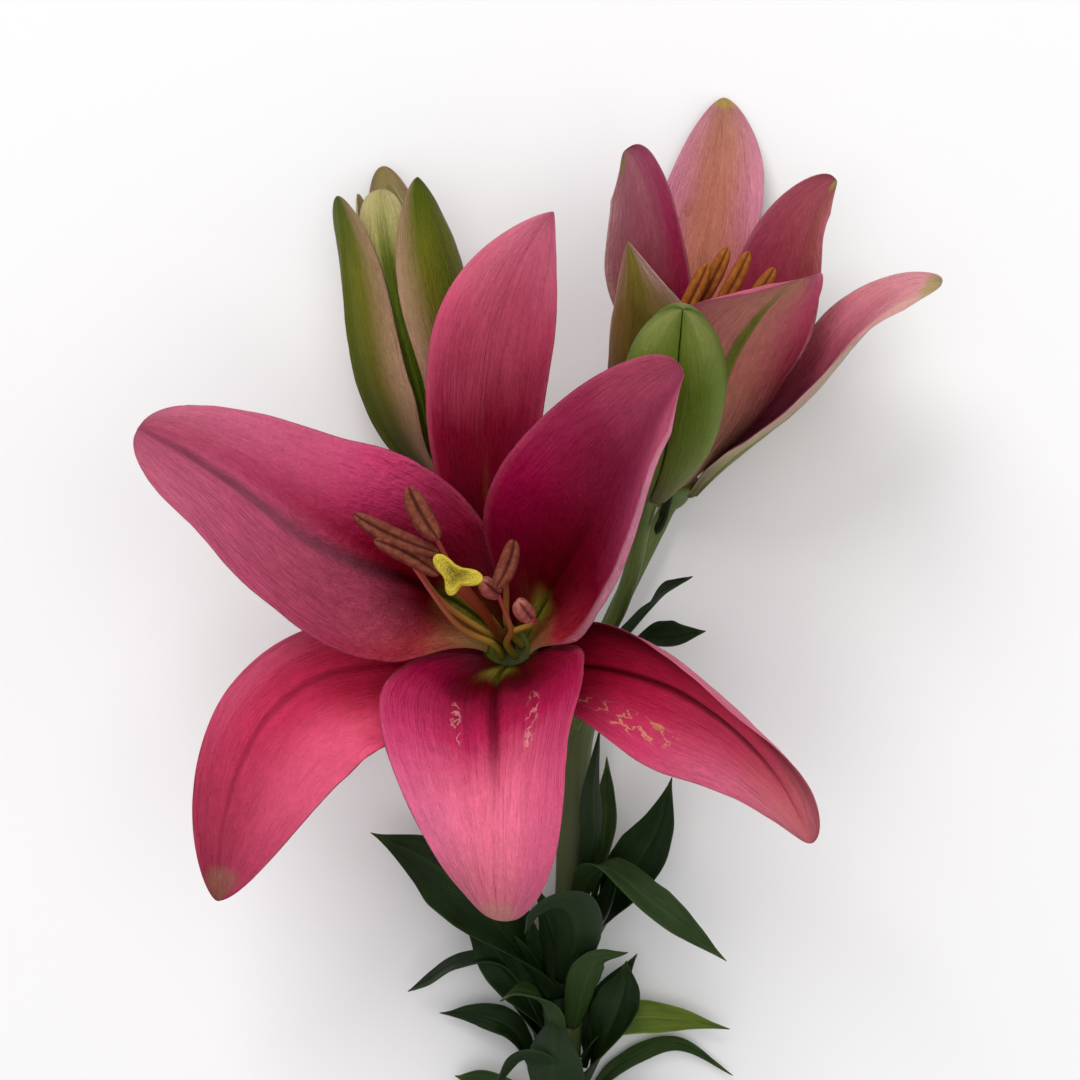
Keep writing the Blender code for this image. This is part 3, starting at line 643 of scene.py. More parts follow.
# lower_petal: the brightest stop of its middle colours, three quarters of the way out, is partly a
# painted highlight.
LOWER_PETAL = petal_finish(
    "lower_petal",
    ([MAROON, (0.32, 0.001, 0.03), (0.52, 0.012, 0.09), (0.76, 0.11, 0.24), (0.72, 0.15, 0.26)],
     [MAROON, (0.15, 0, 0.008), (0.5, 0.016, 0.085), (0.92, 0.18, 0.3), (0.8, 0.19, 0.25)],
     [WINE, (0.42, 0.004, 0.06), (0.62, 0.05, 0.16), (0.76, 0.15, 0.28), (0.68, 0.16, 0.22)]),
    PINK_BACK, 8, (MAROON, 0.05, 0.08, 0.75, 0.7), throat=0.8,
    marks_and_highlights=((0.26, 0.25, 0.1, 0.26, MAROON, 0.55, 0.1), (0.27, -0.3, 0.1, 0.26, MAROON, 0.5, 0.1),
           (0.5, 0.4, 0.14, 0.09, (0.9, 0.5, 0.42), 0.5, 1),
           (0.44, -0.34, 0.12, 0.06, (0.9, 0.5, 0.42), 0.45, 1),
           (0.97, 0, 0.05, 0.9, (0.66, 0.36, 0.24), 0.7, 0.5)))
TOP_PETAL = petal_finish(
    "top_petal",
    ([MAROON, (0.13, 0, 0.01), (0.2, 0.002, 0.02), (0.62, 0.08, 0.16), PINK_TIP],
     [(0.12, 0.03, 0.003), (0.12, 0, 0.006), (0.19, 0.002, 0.016), (0.46, 0.06, 0.11), BLUSH],
     [MAROON, (0.13, 0, 0.008), (0.23, 0.006, 0.028), (0.42, 0.045, 0.095), BLUSH]), PINK_BACK, 11,
    ((0.3, 0.1, 0.01), 0.05, 0, 0.5, 0.75), crinkle=0.3)
# lower_right_petal: its plus side, the steep upper half, stays nearly black-crimson almost to the
# tip: partly its own colour and partly painted shade.
LOWER_RIGHT_PETAL = petal_finish(
    "lower_right_petal",
    ([MAROON, (0.09, 0, 0.004), (0.11, 0, 0.006), (0.22, 0.008, 0.02), (0.7, 0.17, 0.21)],
     [MAROON, (0.4, 0.003, 0.03), (0.54, 0.016, 0.065), (0.72, 0.06, 0.13), (0.85, 0.22, 0.25)],
     [WINE, (0.58, 0.016, 0.08), (0.7, 0.055, 0.16), (0.82, 0.15, 0.27), (0.85, 0.24, 0.28)]),
    PINK_BACK, 14, (MAROON, 0.045, 0.12, 1, 0.8), throat=0.8,
    marks_and_highlights=((0.44, -0.62, 0.18, 0.18, (0.8, 0.46, 0.22), 0.65, 1),
           (0.52, -0.52, 0.018, 0.05, (0.7, 0.42, 0.12), 0.8, 0.4)))
# lower_left_petal: its colours are brightest halfway out and darken towards the tip; the bright
# middle is partly a painted highlight.
LOWER_LEFT_PETAL = petal_finish(
    "lower_left_petal",
    ([CRIMSON, (0.46, 0.002, 0.04), (0.78, 0.09, 0.18), (0.72, 0.09, 0.18), (0.46, 0.04, 0.1)],
     [CRIMSON, (0.46, 0.002, 0.03), (0.62, 0.03, 0.095), (0.52, 0.04, 0.1), (0.36, 0.035, 0.075)],
     [CRIMSON, (0.56, 0.025, 0.09), (0.78, 0.11, 0.22), (0.54, 0.045, 0.11), (0.4, 0.035, 0.075)]),
    PINK_BACK, 17, ((0.2, 0.004, 0.03), 0.04, 0.2, 1, 0.45), throat=0.8,
    marks_and_highlights=((0.97, 0, 0.05, 0.9, (0.32, 0.2, 0.1), 0.7, 0.4),))

OPEN = dict(base=OPEN_BASE, axis=OPEN_AXIS)
INNER, OUTER = dict(ring=4.9, lift=1.8), dict(ring=6.5, lift=-1)
SHAPE = ("azimuth", "length", "lean", "sweep", "twist", "cup", "width", "widest", "tip", "skew")
for name, place, *shape, finish, face, claw, more in (
        ("petal_left", INNER, 136, 115, [23, 29, 63, 72], [45, 8, 19], [-24, 26, 26], [34, 21, -5],
         50, 0.48, 0.44, -0.11, LEFT_PETAL, (1.5, 1.3, 0.1, 1, 0.5, (0.5, 0.5)), 0.25, {}),
        ("petal_right", INNER, 27, 109, [24, 25, 42, 49], [-5, 15, 8], [11, -20, -37], [58, 38, 31],
         45, 0.52, 0.48, 0.14, SHADED_RIGHT_PETAL, (4.5, 1, 0.08, 0.5, 0.25, (0.6, 2.6)), 0.27, {}),
        ("petal_lower", INNER, -92, 102, [17, 38, 74, 161], [14, 5, -5], [-5, 12, 1], [41, 34, -13],
         51, 0.39, 0.32, -0.03, LOWER_PETAL,
         (7.5, 1.2, 0.16, 0.9, 0.35, (0.4, 0.8), [(0.56, -0.55, 0.02, 0.07, 0.9)]), 0.27,
         dict(plus=(1, 1, 1, 0.86, 0.48), minus=(1, 1, 1, 0.76, 0.42))),
        ("sepal_top", OUTER, 96, 112, [24, 48, 70, 83], [-10, -20, -47], [18, 5, -4], [67, 29, 13],
         30, 0.69, 0.81, -0.02, TOP_PETAL, (10.5, 0.7, 0.06, 0.4, 0.2, (2.2, 0.4)), 0.36, {}),
        ("sepal_lower_right", OUTER, -30, 103, [25, 61, 101, 111], [10, -10, -44], [12, 59, 52],
         [78, 55, -11], 36, 0.57, 0.53, -0.1, LOWER_RIGHT_PETAL, (13.5, 1.4, 0.08, 0.5, 0.25), 0.36,
         {}),
        ("sepal_lower_left", OUTER, -149, 114, [22, 54, 85, 110], [-18, 33, 58], [7, -6, 0],
         [42, 16, 2], 39, 0.48, 0.61, 0.39, LOWER_LEFT_PETAL,
         (16.5, 0.8, 0.1, 0.5, 0.3, (0.2, 0.8)), 0.34, {})):
    petal("open_flower_" + name, **OPEN, **place, **dict(zip(SHAPE, shape)), finish=finish,
          face=face, claw=claw, **more)

# Stamens and pistil of the open flower --------------------------------------------------
# Six soft threads, each with a two-lobed brown pollen sac swinging from its tip, stand round
# the style, which ends in a three-lobed yellow stigma, sticky and finely warted.
SIDE, UP, FORWARD = flower_frame(OPEN_AXIS)
HEAD = np.array(OPEN_BASE) + 3.6 * FORWARD
THREAD_LONG = steps(61)
THREAD_ROUND = steps(21)
SAC_LONG = (1 - np.cos(np.linspace(0, math.pi, 37))) / 2
SAC_ROUND = steps(49)


def thread_finish(name, low, middle, high):
    material, shader, u, w, space = finish_start(name, 0.38, shine=0.3)
    streak = u.grain(u * 6, w * 6, 3, 3)
    colour = (u + (streak - 0.5) * 0.2).ramp([low, middle, high])
    colour = (streak.ease(0.4, 0.8) * 0.3).mix(colour, scaled(0.6, middle))
    plug(shader, "Base Color", colour)
    relieve(shader, streak, 0.4, 0.0004)
    return material


def sac_finish(name, dust, ridge, furrow):
    """A dry, powdery coat of fine grains over brown lobes that are darker in the furrows."""
    material, shader, u, w, space = finish_start(name, 0.8, shine=0.12)
    grains = u.node("TexVoronoi", {"Vector": space, "Scale": 4200})
    blot = space.speckle(700, 4)
    deep = abs(w - 0.25).ease(0.055, 0.01)
    colour = blot.ease(0.35, 0.68).mix(dust, ridge)
    colour = (grains.ease(0.25, 0.6) * 0.35).mix(colour, scaled(0.6, dust))
    colour = (deep * 0.8).mix(colour, furrow)
    plug(shader, "Base Color", colour)
    height = blot * 0.5 + grains * 0.3
    relieve(shader, height, 0.4, 0.00015)
    return material


def sac(name, node, start, end, radius, bow, finish):
    """A pollen sac pair from start to end, its furrow turned upwards and its middle bowed out."""
    start, end = np.asarray(start, float), np.asarray(end, float)
    ahead = unit(end - start)
    face = np.array([0.1, 0.1, 1])
    up = unit(face - np.dot(face, ahead) * ahead)
    beside = np.cross(ahead, up)

    def place(u, w):
        a = 2 * math.pi * w
        dip = lambda at, wide: bell(((np.degrees(a) - at + 180) % 360 - 180) / wide)
        r = radius * held(1 - np.abs(2 * u - 1) ** 2.6) ** 0.5
        sides = 0.12 * (dip(10, 14) + dip(170, 14))
        r = r * (1 - 0.42 * dip(90, 20) - 0.22 * dip(-90, 26) - sides)
        line = start + u[..., None] * (end - start) + (bow * 4 * u * (1 - u))[..., None] * beside
        wide, tall = 1.12 * r * np.cos(a), r * np.sin(a)
        return line + wide[..., None] * beside + tall[..., None] * up

    return skin(name, node, place, SAC_LONG, SAC_ROUND, finish)


PINK_THREAD = thread_finish("pink_thread", (0.4, 0.42, 0.03), (0.5, 0.26, 0.05), (0.52, 0.08, 0.11))
BROWN_SAC = sac_finish("brown_sac", (0.15, 0.032, 0.017), (0.25, 0.07, 0.04), (0.03, 0.004, 0.002))
PINK_SAC = sac_finish("pink_sac", (0.36, 0.09, 0.075), (0.5, 0.18, 0.14), (0.12, 0.02, 0.015))
for number, azimuth, middle, start, end, by_its_end, bow in (
        ("1", 120, (-19, -10, 56), (-30, 12, 82), (-23, 0, 87), False, 0.6),
        ("2", 180, (-24, -14, 54), (-43, 6, 76), (-23, -3, 83), False, 0.9),
        ("3", 235, (-20, -20, 54), (-38, 0, 80), (-23, -8, 80), False, -0.8),
        ("4", 60, (-8, -12, 56), (-6, 0, 79), (-10, -11, 87), False, -0.7),
        ("5", 300, (-7, -21, 56), (-13, -9.5, 84), (-9.8, -12.5, 72), True, 0.2),
        ("6", 0, (-1, -20, 52), (-5, -14, 86), (-2, -18, 76), True, 0.3)):
    a = math.radians(azimuth)
    foot = HEAD + 3.2 * (math.cos(a) * SIDE + math.sin(a) * UP)
    start, end = np.array(start, float), np.array(end, float)
    centre = (start + end) / 2
    top = centre - 2.4 * unit(centre - np.array(middle))
    if by_its_end:
        top = end + 0.4 * unit(end - start)
    skin("open_flower_thread_" + number, "open_flower_filament_" + number,
         rod([foot, foot + 12 * FORWARD, middle, top], [0.95, 0.85, 0.7, 0.45]), THREAD_LONG,
         THREAD_ROUND, PINK_THREAD)
    sac("open_flower_sac_" + number, "open_flower_anther_" + number, start, end,
        2.5 if number == "1" else 2.1, bow, PINK_SAC if by_its_end else BROWN_SAC)

STYLE_SKIN = thread_finish("style_skin", (0.1, 0.1, 0.02), (0.19, 0.035, 0.012), (0.26, 0.06, 0.02))
skin("open_flower_style", "open_flower_pistil",
     rod([HEAD, HEAD + 9 * FORWARD, (-10.4, -22, 50), (-13, -17, 70), (-17.5, -11, 88),
          (-18.6, -8.4, 91.6)],
         [1.7, 1.8, 1.2, 1.2, 1.6, 2]), THREAD_LONG, THREAD_ROUND, STYLE_SKIN)


def stigma(name, node, centre, axis, middle, lobes, finish):
    """A fleshy head that reaches middle all round, and further at its lobes: (direction, reach)."""
    side, up, forward = flower_frame(axis)

    def place(u, w):
        a = 360 * w
        reach = middle + 0 * u
        for turn, far in lobes:
            reach = reach + (far - middle) * bell(((a - turn + 180) % 360 - 180) / 29)
        stops = [0, 0.2, 0.42, 0.58, 0.74, 0.88, 1]
        out = np.interp(u, stops, [0.3, 0.62, 0.97, 1, 0.8, 0.38, 0])
        high = np.interp(u, stops, [-3.2, -2.2, -0.9, 0.3, 1.1, -0.1, -1.3])
        a = np.radians(a)
        r = reach * out
        warts = 0.12 * ripple(r * np.cos(a), r * np.sin(a), 3, 1.3, 1.3)
        return (np.asarray(centre, float) + (r * np.cos(a))[..., None] * side
                + (r * np.sin(a))[..., None] * up + (high + warts)[..., None] * forward)

    return skin(name, node, place, steps(49), steps(97), finish)


STIGMA_SKIN, shader, u, w, space = finish_start("stigma_skin", 0.4)
warts = u.node("TexVoronoi", {"Vector": space, "Scale": 2200})
cloud = space.speckle(420, 3)
yellow = cloud.ease(0.3, 0.7).mix((0.52, 0.38, 0.018), (0.66, 0.52, 0.04))
# Towards its middle, where the lobes dip into a recess, the yellow darkens to brown: painted shade.
yellow = (u.ease(0.66, 0.98) * 0.85).mix(yellow, (0.14, 0.07, 0.004))
# The lighter yellow laid on the raised parts of the warts is a painted highlight.
plug(shader, "Base Color", (warts.ease(0.2, 0.6) * 0.25).mix(yellow, (0.74, 0.64, 0.09)))
relieve(shader, warts, 0.8, 0.0004)
stigma("open_flower_stigma", "open_flower_pistil", (-19.2, -8, 92.6), (-0.25, 0.15, 0.95),
       2.4, [(134, 6.6), (-8, 6.8), (258, 4.6)], STIGMA_SKIN)

# Half-open flower -----------------------------------------------------------------------
# The same six petals some days younger, still standing up in a cup: salmon and rose inside,
# dusky with green ribs and green horny tips outside, with six stamens standing in the cup.
SALMON, APRICOT, BROWN = (0.58, 0.2, 0.14), (0.66, 0.28, 0.2), (0.13, 0.04, 0.018)
DUSKY, GREEN_TIP = (0.3, 0.09, 0.065), (0.22, 0.26, 0.05)
HALF = dict(base=HALF_BASE, axis=HALF_AXIS)
FLANK = [BROWN, DUSKY, (0.34, 0.12, 0.1), (0.42, 0.14, 0.13), (0.3, 0.11, 0.12)]
OUTSIDE = (FLANK, [OLIVE, OLIVE, (0.13, 0.09, 0.02), (0.2, 0.14, 0.04), GREEN_TIP], FLANK)
SALMON_EDGE = [(0.24, 0.04, 0.03), (0.3, 0.05, 0.03), (0.56, 0.14, 0.15), (0.72, 0.25, 0.34),
               (0.7, 0.3, 0.3)]
BACK_SALMON = petal_finish(
    "back_salmon",
    (SALMON_EDGE, [(0.16, 0.02, 0.01), (0.26, 0.05, 0.02), (0.52, 0.18, 0.11), SALMON, APRICOT],
     SALMON_EDGE), OUTSIDE, 21, (DUSKY, 0.06, 0.1, 0.7, 0.4), rim=((0.74, 0.28, 0.38), 0.6, 0.75),
    crinkle=0.6,
    marks_and_highlights=((1, 0, 0.035, 1.4, (0.72, 0.5, 0.12), 0.9, 0.1),
           (0.7, 0.45, 0.03, 0.12, (0.4, 0.14, 0.08), 0.7, 0.6)))
LEFT_ROSE = petal_finish(
    "left_rose",
    ([WINE, (0.26, 0.04, 0.03), (0.38, 0.11, 0.12), (0.44, 0.15, 0.18), (0.52, 0.2, 0.24)],
     [WINE, (0.18, 0.002, 0.014), (0.32, 0.03, 0.05), (0.4, 0.09, 0.13), (0.5, 0.16, 0.21)],
     [WINE, (0.14, 0, 0.01), (0.32, 0.004, 0.045), (0.42, 0.025, 0.1), (0.5, 0.08, 0.17)]),
    ([BROWN, (0.1, 0.05, 0.015), (0.16, 0.07, 0.03), (0.24, 0.07, 0.07), DUSKY],) * 3, 24,
    (WINE, 0.05, 0.1, 0.5, 0.3), rim=((0.5, 0.3, 0.26), 0.5, 0.86),
    marks_and_highlights=((1, 0.5, 0.05, 0.5, (0.3, 0.32, 0.05), 0.9, 0.1),))
RIGHT_ROSE = petal_finish(
    "right_rose",
    ([WINE, (0.26, 0.001, 0.03), (0.38, 0.014, 0.075), (0.4, 0.05, 0.1), (0.42, 0.09, 0.12)],
     [WINE, (0.17, 0, 0.012), (0.33, 0.01, 0.05), (0.4, 0.055, 0.085), (0.42, 0.09, 0.11)],
     [WINE, (0.16, 0.001, 0.012), (0.31, 0.014, 0.04), (0.43, 0.085, 0.085), (0.4, 0.11, 0.1)]),
    OUTSIDE, 27, (WINE, 0.05, 0.1, 0.6, 0.3), rim=((0.5, 0.16, 0.19), 0.6, 0.82),
    marks_and_highlights=((1, -0.4, 0.04, 0.5, (0.36, 0.38, 0.06), 0.9, 0.1),))
LEFT_OLIVE = petal_finish(
    "left_olive", ([WINE, WINE, CRIMSON, (0.3, 0.1, 0.12), (0.5, 0.22, 0.24)],) * 3,
    ([OLIVE, (0.16, 0.1, 0.015), (0.26, 0.14, 0.05), (0.46, 0.24, 0.12), (0.8, 0.46, 0.42)],
     [OLIVE, (0.1, 0.07, 0.01), (0.14, 0.09, 0.012), (0.26, 0.17, 0.022), (0.5, 0.4, 0.06)],
     [OLIVE, (0.14, 0.08, 0.015), (0.2, 0.1, 0.03), (0.34, 0.17, 0.06), (0.7, 0.36, 0.3)]), 31,
    back_rib=((0.08, 0.07, 0.008), 0.2, 0.4), rim=((0.66, 0.4, 0.32), 0.75, 0.8), gloss=0.45)
WARM_EDGE = [WINE, WINE, CRIMSON, (0.5, 0.12, 0.15), BLUSH]
# front_dusky: its back colours are partly painted light, raised above the petal's own to make up for
# a bud's shadow on its left flank.
FRONT_DUSKY = petal_finish(
    "front_dusky", (WARM_EDGE, [WINE, WINE, CRIMSON, (0.45, 0.1, 0.13), BLUSH], WARM_EDGE),
    ([(0.44, 0.24, 0.15), (0.5, 0.19, 0.15), (0.54, 0.09, 0.13), (0.64, 0.09, 0.18),
      (0.7, 0.13, 0.24)],
     [(0.44, 0.26, 0.15), (0.54, 0.24, 0.16), (0.62, 0.21, 0.16), (0.64, 0.22, 0.18),
      (0.7, 0.34, 0.2)],
     [(0.44, 0.24, 0.15), (0.52, 0.18, 0.15), (0.66, 0.18, 0.17), (0.7, 0.22, 0.21),
      (0.68, 0.14, 0.21)]), 34, back_rib=((0.15, 0.17, 0.02), 0.07, 1),
    rim=((0.64, 0.1, 0.2), 0.6, 0.74))
LONG_DUSKY = petal_finish(
    "long_dusky",
    ([WINE, (0.26, 0.004, 0.05), (0.62, 0.1, 0.16), (0.8, 0.23, 0.3), (0.92, 0.38, 0.42)],
     [WINE, (0.18, 0.001, 0.03), (0.34, 0.02, 0.08), (0.72, 0.2, 0.26), (0.92, 0.4, 0.42)],
     [WINE, (0.3, 0.015, 0.07), (0.6, 0.16, 0.22), (0.74, 0.3, 0.32), (0.9, 0.5, 0.4)]),
    ([OLIVE, (0.52, 0.42, 0.22), (0.58, 0.36, 0.29), (0.64, 0.44, 0.33), (0.5, 0.44, 0.14)],
     [OLIVE, (0.38, 0.38, 0.13), (0.46, 0.34, 0.2), (0.5, 0.42, 0.24), (0.36, 0.36, 0.08)],
     [OLIVE, (0.52, 0.42, 0.22), (0.58, 0.34, 0.29), (0.64, 0.42, 0.33), (0.5, 0.44, 0.14)]), 37,
    (WINE, 0.06, 0.05, 0.7, 0.4), back_rib=((0.22, 0.24, 0.06), 0.14, 0.6),
    rim=((0.7, 0.4, 0.36), 0.5, 0.86), marks_and_highlights=((1, 0, 0.07, 1.4, (0.5, 0.42, 0.14), 0.9, 0.1),))

for name, place, *shape, finish, face, claw, more in (
        ("sepal_back", OUTER, 87, 99, [14, 35, 34, 33], [-4, -7, 8], [-1, -14, 4], [60, 47, 17], 31,
         0.57, 0.6, -0.05, BACK_SALMON, (20.5, 0.5, 0.08, 0.4, 0.2, (0.6, 0.6)), 0.2, {}),
        ("sepal_right", OUTER, -19, 89, [27, 38, 26, 64], [-1, 16, -3], [1, -2, 0], [40, 46, 14],
         34, 0.5, 0.38, -0.04, LONG_DUSKY, (23.5, 0.7, 0.08, 0.4, 0.2, (0.4, 1.6)), 0.2, {}),
        ("sepal_left", OUTER, -127, 92, [28, 25, 15, 28], [13, 5, -7], [-5, 1, -4], [44, 47, 9], 33,
         0.44, 0.86, 0.2, LEFT_OLIVE, (26.5, 0.7, 0.08, 0.3, 0.2, (0.3, 0.3)), 0.2, {}),
        ("petal_right", INNER, 35, 87, [-1, 30, 10, 44], [-22, 8, -24], [20, -6, 0], [42, 32, 39],
         31, 0.56, 0.41, -0.14, RIGHT_ROSE, (29.5, 0.6, 0.08, 0.4, 0.2, (0.4, 2)), 0.13, {}),
        ("petal_front", INNER, -76, 95, [32, 17, 28, 56], [3, 17, 0], [-7, -16, 12], [46, 27, 4],
         46, 0.38, 0.63, 0.05, FRONT_DUSKY, (32.5, 0.8, 0.1, 0.5, 0.25, (-0.8, 1.4)), 0.16,
         dict(keel=0.9)),
        ("petal_left", INNER, 156, 87, [2, 10, 16, 25], [-6, -9, 8], [1, 2, -5], [69, 17, 30], 38,
         0.68, 0.32, 0.2, LEFT_ROSE, (35.5, 0.6, 0.08, 0.4, 0.2, (2.4, 0.4)), 0.17,
         dict(plus=(1, 0.82, 0.86, 0.98, 1.05)))):
    petal("half_open_" + name, **HALF, **place, **dict(zip(SHAPE, shape)), finish=finish, face=face,
          claw=claw, **more)

FORWARD = flower_frame(HALF_AXIS)[2]
HEAD = np.array(HALF_BASE) + 3.6 * FORWARD
ORANGE_SAC = sac_finish("orange_sac", (0.3, 0.085, 0.012), (0.42, 0.15, 0.03), (0.09, 0.02, 0.004))
skin("half_open_style", "half_open_stamens", rod([HEAD, HEAD + 20 * FORWARD, HEAD + 42 * FORWARD],
     [2.4, 2, 1.5]), THREAD_LONG, THREAD_ROUND, STYLE_SKIN)
stigma("half_open_stigma", "half_open_stamens", HEAD + 43 * FORWARD, HALF_AXIS,
       2, [(90, 3.2), (210, 3.2), (330, 3.2)], STIGMA_SKIN)
for number, start, end in (("1", (33, 52, 53), (40, 66, 55)), ("2", (37, 55, 49), (45, 70, 53)),
                           ("3", (42, 54, 51), (50, 69, 53)), ("4", (47, 52, 51), (56, 65, 54))):
    middle = (np.array(start) + np.array(end)) / 2
    skin("half_open_thread_" + number, "half_open_stamens",
         rod([HEAD + 16 * FORWARD, (HEAD + 30 * FORWARD + middle) / 2, middle - (0, 0, 1.2)],
             [1.1, 0.8, 0.7]), THREAD_LONG, THREAD_ROUND, PINK_THREAD)
    sac("half_open_sac_" + number, "half_open_stamens", start, end, 1.9, 0.3, ORANGE_SAC)

# Left bud, just loosening ---------------------------------------------------------------
# Three thick olive outer petals with blushed margins stand round three pale green inner
# ones, whose cream edges and ridged backs show in the gaps between them.
LEFT = dict(base=LEFT_BASE, axis=LEFT_AXIS)
CREAM = ([(0.3, 0.3, 0.08), (0.35, 0.33, 0.1), (0.46, 0.38, 0.13), (0.55, 0.43, 0.18),
          (0.5, 0.4, 0.16)],) * 3
OLIVE_FACE = [(0.06, 0.05, 0.005), (0.1, 0.075, 0.008), (0.15, 0.115, 0.008), (0.17, 0.15, 0.01),
              (0.1, 0.14, 0.005)]
GREEN_KEEL = [(0.05, 0.05, 0.004), (0.06, 0.07, 0.004), (0.1, 0.11, 0.005), (0.15, 0.16, 0.008),
              (0.09, 0.13, 0.004)]
BUD_BACK = (OLIVE_FACE, GREEN_KEEL, OLIVE_FACE)
BUD_RIND = dict(back_rib=((0.06, 0.075, 0.003), 0.2, 0.5), rim=((0.46, 0.27, 0.17), 0.85, 0.45),
                gloss=0.42, crinkle=0.3)
BUD_LEFT = petal_finish("bud_left", CREAM, BUD_BACK, 41, **BUD_RIND)
BUD_RIGHT = petal_finish("bud_right", CREAM, BUD_BACK, 42, **BUD_RIND)
PALE_FLANK = [(0.1, 0.08, 0.01), (0.2, 0.15, 0.04), (0.36, 0.3, 0.09), (0.58, 0.5, 0.18),
              (0.7, 0.58, 0.28)]
GREEN_PETAL = petal_finish(
    "green_petal", CREAM,
    (PALE_FLANK,
     [(0.08, 0.09, 0.008), (0.11, 0.13, 0.012), (0.2, 0.21, 0.03), (0.4, 0.38, 0.1),
      (0.62, 0.54, 0.22)], PALE_FLANK), 44, back_rib=((0.08, 0.115, 0.006), 0.22, 0.95),
    rim=((0.62, 0.52, 0.26), 0.8, 0.86), crinkle=0.3)
petal("left_bud_sepal_left", **LEFT, ring=3.9, azimuth=203, length=78, lean=[48, 9, -10, -4],
      sweep=[3, 0, 3], twist=[-4, 3, 7], cup=[60, 71, 6], width=32, widest=0.33, tip=0.54,
      skew=-0.02, claw=0.28, finish=BUD_LEFT, face=(40, 0.4, 0.05, 0.4, 0.15, (-0.6, 0)), keel=0.9)
petal("left_bud_sepal_right", **LEFT, ring=3.9, azimuth=321, length=76, lean=[28, 15, -3, -7],
      sweep=[5, 0, -3], twist=[13, -1, -5], cup=[66, 50, 51], width=30, widest=0.53, tip=0.65,
      skew=-0.04, claw=0.28, finish=BUD_RIGHT, face=(41, 0.4, 0.05, 0.4, 0.15, (0, -0.6)), keel=0.9)
petal("left_bud_sepal_back", **LEFT, ring=3.9, azimuth=82, length=83, lean=[32, 12, 0, -10],
      cup=[56, 56, 40], width=24, widest=0.45, tip=0.5, claw=0.33, finish=BUD_LEFT,
      face=(42, 0.3, 0.05, 0.3, 0.12), keel=0.7)
petal("left_bud_petal_front", **LEFT, ring=2.2, azimuth=260, length=75, lean=[28, 8, -5, -19],
      sweep=[7, -10, -12], twist=[0, 3, 21], cup=[55, 49, 26], width=18, widest=0.62, tip=0.35,
      skew=-0.08, lift=0.2, finish=GREEN_PETAL, face=(43, 0.2, 0.05, 0.3, 0.12), keel=1.1)
for name, azimuth, length in (("right", 60, 76), ("left", 154, 75)):
    petal("left_bud_petal_" + name, **LEFT, ring=2.2, azimuth=azimuth, length=length,
          lean=[26, 4, -3, -8], cup=[52, 46, 35], width=12,
          widest=0.5, tip=0.45, lift=0.2, finish=GREEN_PETAL,
          face=(44 + azimuth, 0.2, 0.05, 0.3, 0.12), keel=1.1)

# Small closed bud -----------------------------------------------------------------------
# Three outer petals still meet edge to edge over the rest, green with a pale bloom, each
# with a broad raised rib, and end in a blunt cream tip covered with short hairs.
BUD_LENGTH, BUD_WALL = 60, 0.9
BUD_RADII = [4.2, 7.8, 10.5, 11.3, 11, 9, 5.4]
BUD_SKIN = petal_finish(
    "bud_skin", CREAM,
    ([(0.12, 0.12, 0.03), (0.14, 0.18, 0.025), (0.11, 0.17, 0.012), (0.1, 0.16, 0.008),
      (0.16, 0.22, 0.03)],
     [(0.18, 0.16, 0.06), (0.17, 0.21, 0.04), (0.13, 0.18, 0.016), (0.12, 0.19, 0.01),
      (0.3, 0.32, 0.09)],
     [(0.12, 0.12, 0.03), (0.13, 0.17, 0.02), (0.1, 0.15, 0.01), (0.09, 0.13, 0.007),
      (0.16, 0.22, 0.03)]), 47, back_rib=((0.2, 0.27, 0.045), 0.25, 0.5),
    rim=((0.07, 0.1, 0.01), 0.4, 0.9), gloss=0.48, crinkle=0.2)


def bud_petal(name, azimuth):
    """One of the three outer petals of a closed bud: a third of its skin, with a raised rib."""
    side, up, forward = flower_frame(SMALL_AXIS)

    def surface(u, v):
        r = np.maximum(along(BUD_RADII, u) * np.sqrt(held(1 - u**14)), 0.1)
        reach = math.pi / 3 - np.minimum(0.1 / r, 0.3)
        a = math.radians(azimuth) + reach * v
        r = r + 0.9 * (1 - np.abs(v) ** 2.2) * held(8 * (1 - u)) - 0.3
        r = r + 0.35 * bell(v / 0.22) * np.sin(math.pi * u)
        r = r + 0.12 * ripple(u, v, 3 + azimuth, 6, 3) * held(6 * (1 - u))
        out = np.cos(a)[..., None] * side + np.sin(a)[..., None] * up
        bow = 1.2 * np.sin(math.pi * u)[..., None] * side
        rib = SMALL_BASE + (BUD_LENGTH * u)[..., None] * forward
        return rib + r[..., None] * out + bow

    return skin(name + "_skin", name, both_sides(surface, BUD_WALL), PETAL_LONG, PETAL_ROUND,
                BUD_SKIN)


for name, azimuth in (("left", 205), ("right", 325), ("back", 85)):
    bud_petal("small_bud_sepal_" + name, azimuth)

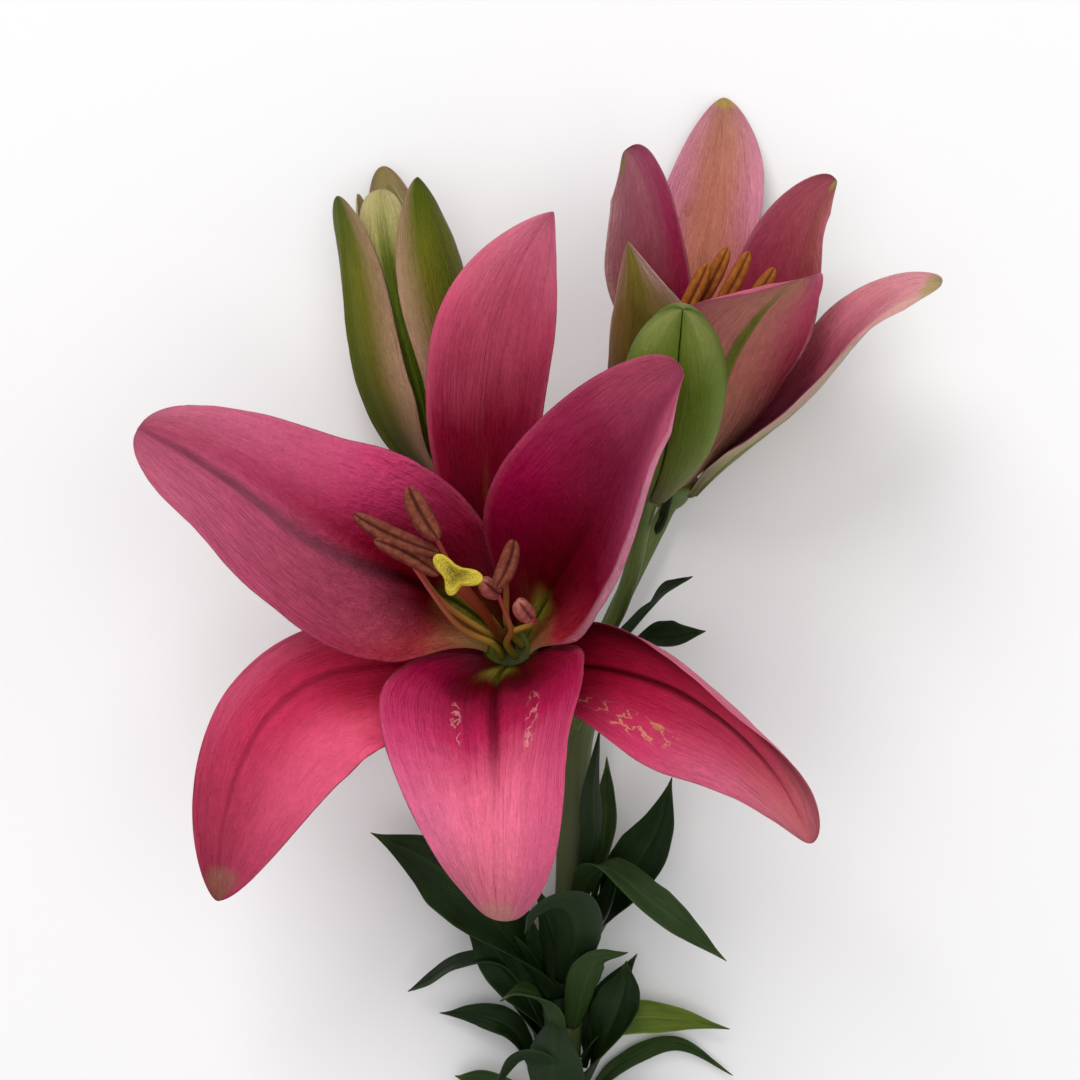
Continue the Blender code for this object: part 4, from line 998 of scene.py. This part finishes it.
# Table, lights and camera ---------------------------------------------------------------
# A pale seamless table top under a big soft overhead light, with a softer one from the side
# of the flower heads, and the camera looking straight down on the open flower.
TABLE_HALF, TABLE_GAP, CAMERA_HEIGHT = 3, 0.0005, 0.685
bm = bmesh.new()
bmesh.ops.create_grid(bm, x_segments=2, y_segments=2, size=TABLE_HALF)
bmesh.ops.translate(bm, vec=(0, 0, -TABLE_GAP), verts=bm.verts)
table = bpy.data.meshes.new("table")
bm.to_mesh(table)
bm.free()
table = bpy.data.objects.new("table", table)
scene.collection.objects.link(table)
paper = bpy.data.materials.new("white_paper")
paper.use_nodes = True
matt = paper.node_tree.nodes["Principled BSDF"].inputs
matt["Base Color"].default_value = (0.93, 0.92, 0.92, 1)
matt["Roughness"].default_value = 0.9
table.data.materials.append(paper)


def soft_light(name, place, aim, size, power):
    """A square soft light at place that faces aim, both in metres."""
    lamp = bpy.data.objects.new(name, bpy.data.lights.new(name, "AREA"))
    lamp.data.shape = "SQUARE"
    lamp.data.size = size
    lamp.data.energy = power
    lamp.location = place
    lamp.rotation_euler = (Vector(place) - Vector(aim)).to_track_quat("Z", "Y").to_euler()
    scene.collection.objects.link(lamp)


soft_light("top_light", (-0.8, 2.2, 2.2), (0, 0.09, 0.03), 1.6, 50)
soft_light("overhead_light", (0.1, 0, 2.4), (0, 0.05, 0), 2.2, 22)
soft_light("side_light", (2.4, -0.4, 1.6), (0, 0.05, 0), 1.6, 6)
world = bpy.data.worlds.new("soft_room")
world.use_nodes = True
sky = world.node_tree.nodes["Background"].inputs
sky["Color"].default_value = (0.97, 0.98, 1, 1)
sky["Strength"].default_value = 0.41
scene.world = world
scene.view_settings.view_transform = "Standard"

lens = bpy.data.cameras.new("overhead_camera")
lens.sensor_width = 36
lens.lens = 88.13
camera = bpy.data.objects.new("overhead_camera", lens)
camera.location = (-CENTRE[0] / 1000, -CENTRE[1] / 1000, CAMERA_HEIGHT - CENTRE[2] / 1000)
scene.collection.objects.link(camera)
scene.camera = camera
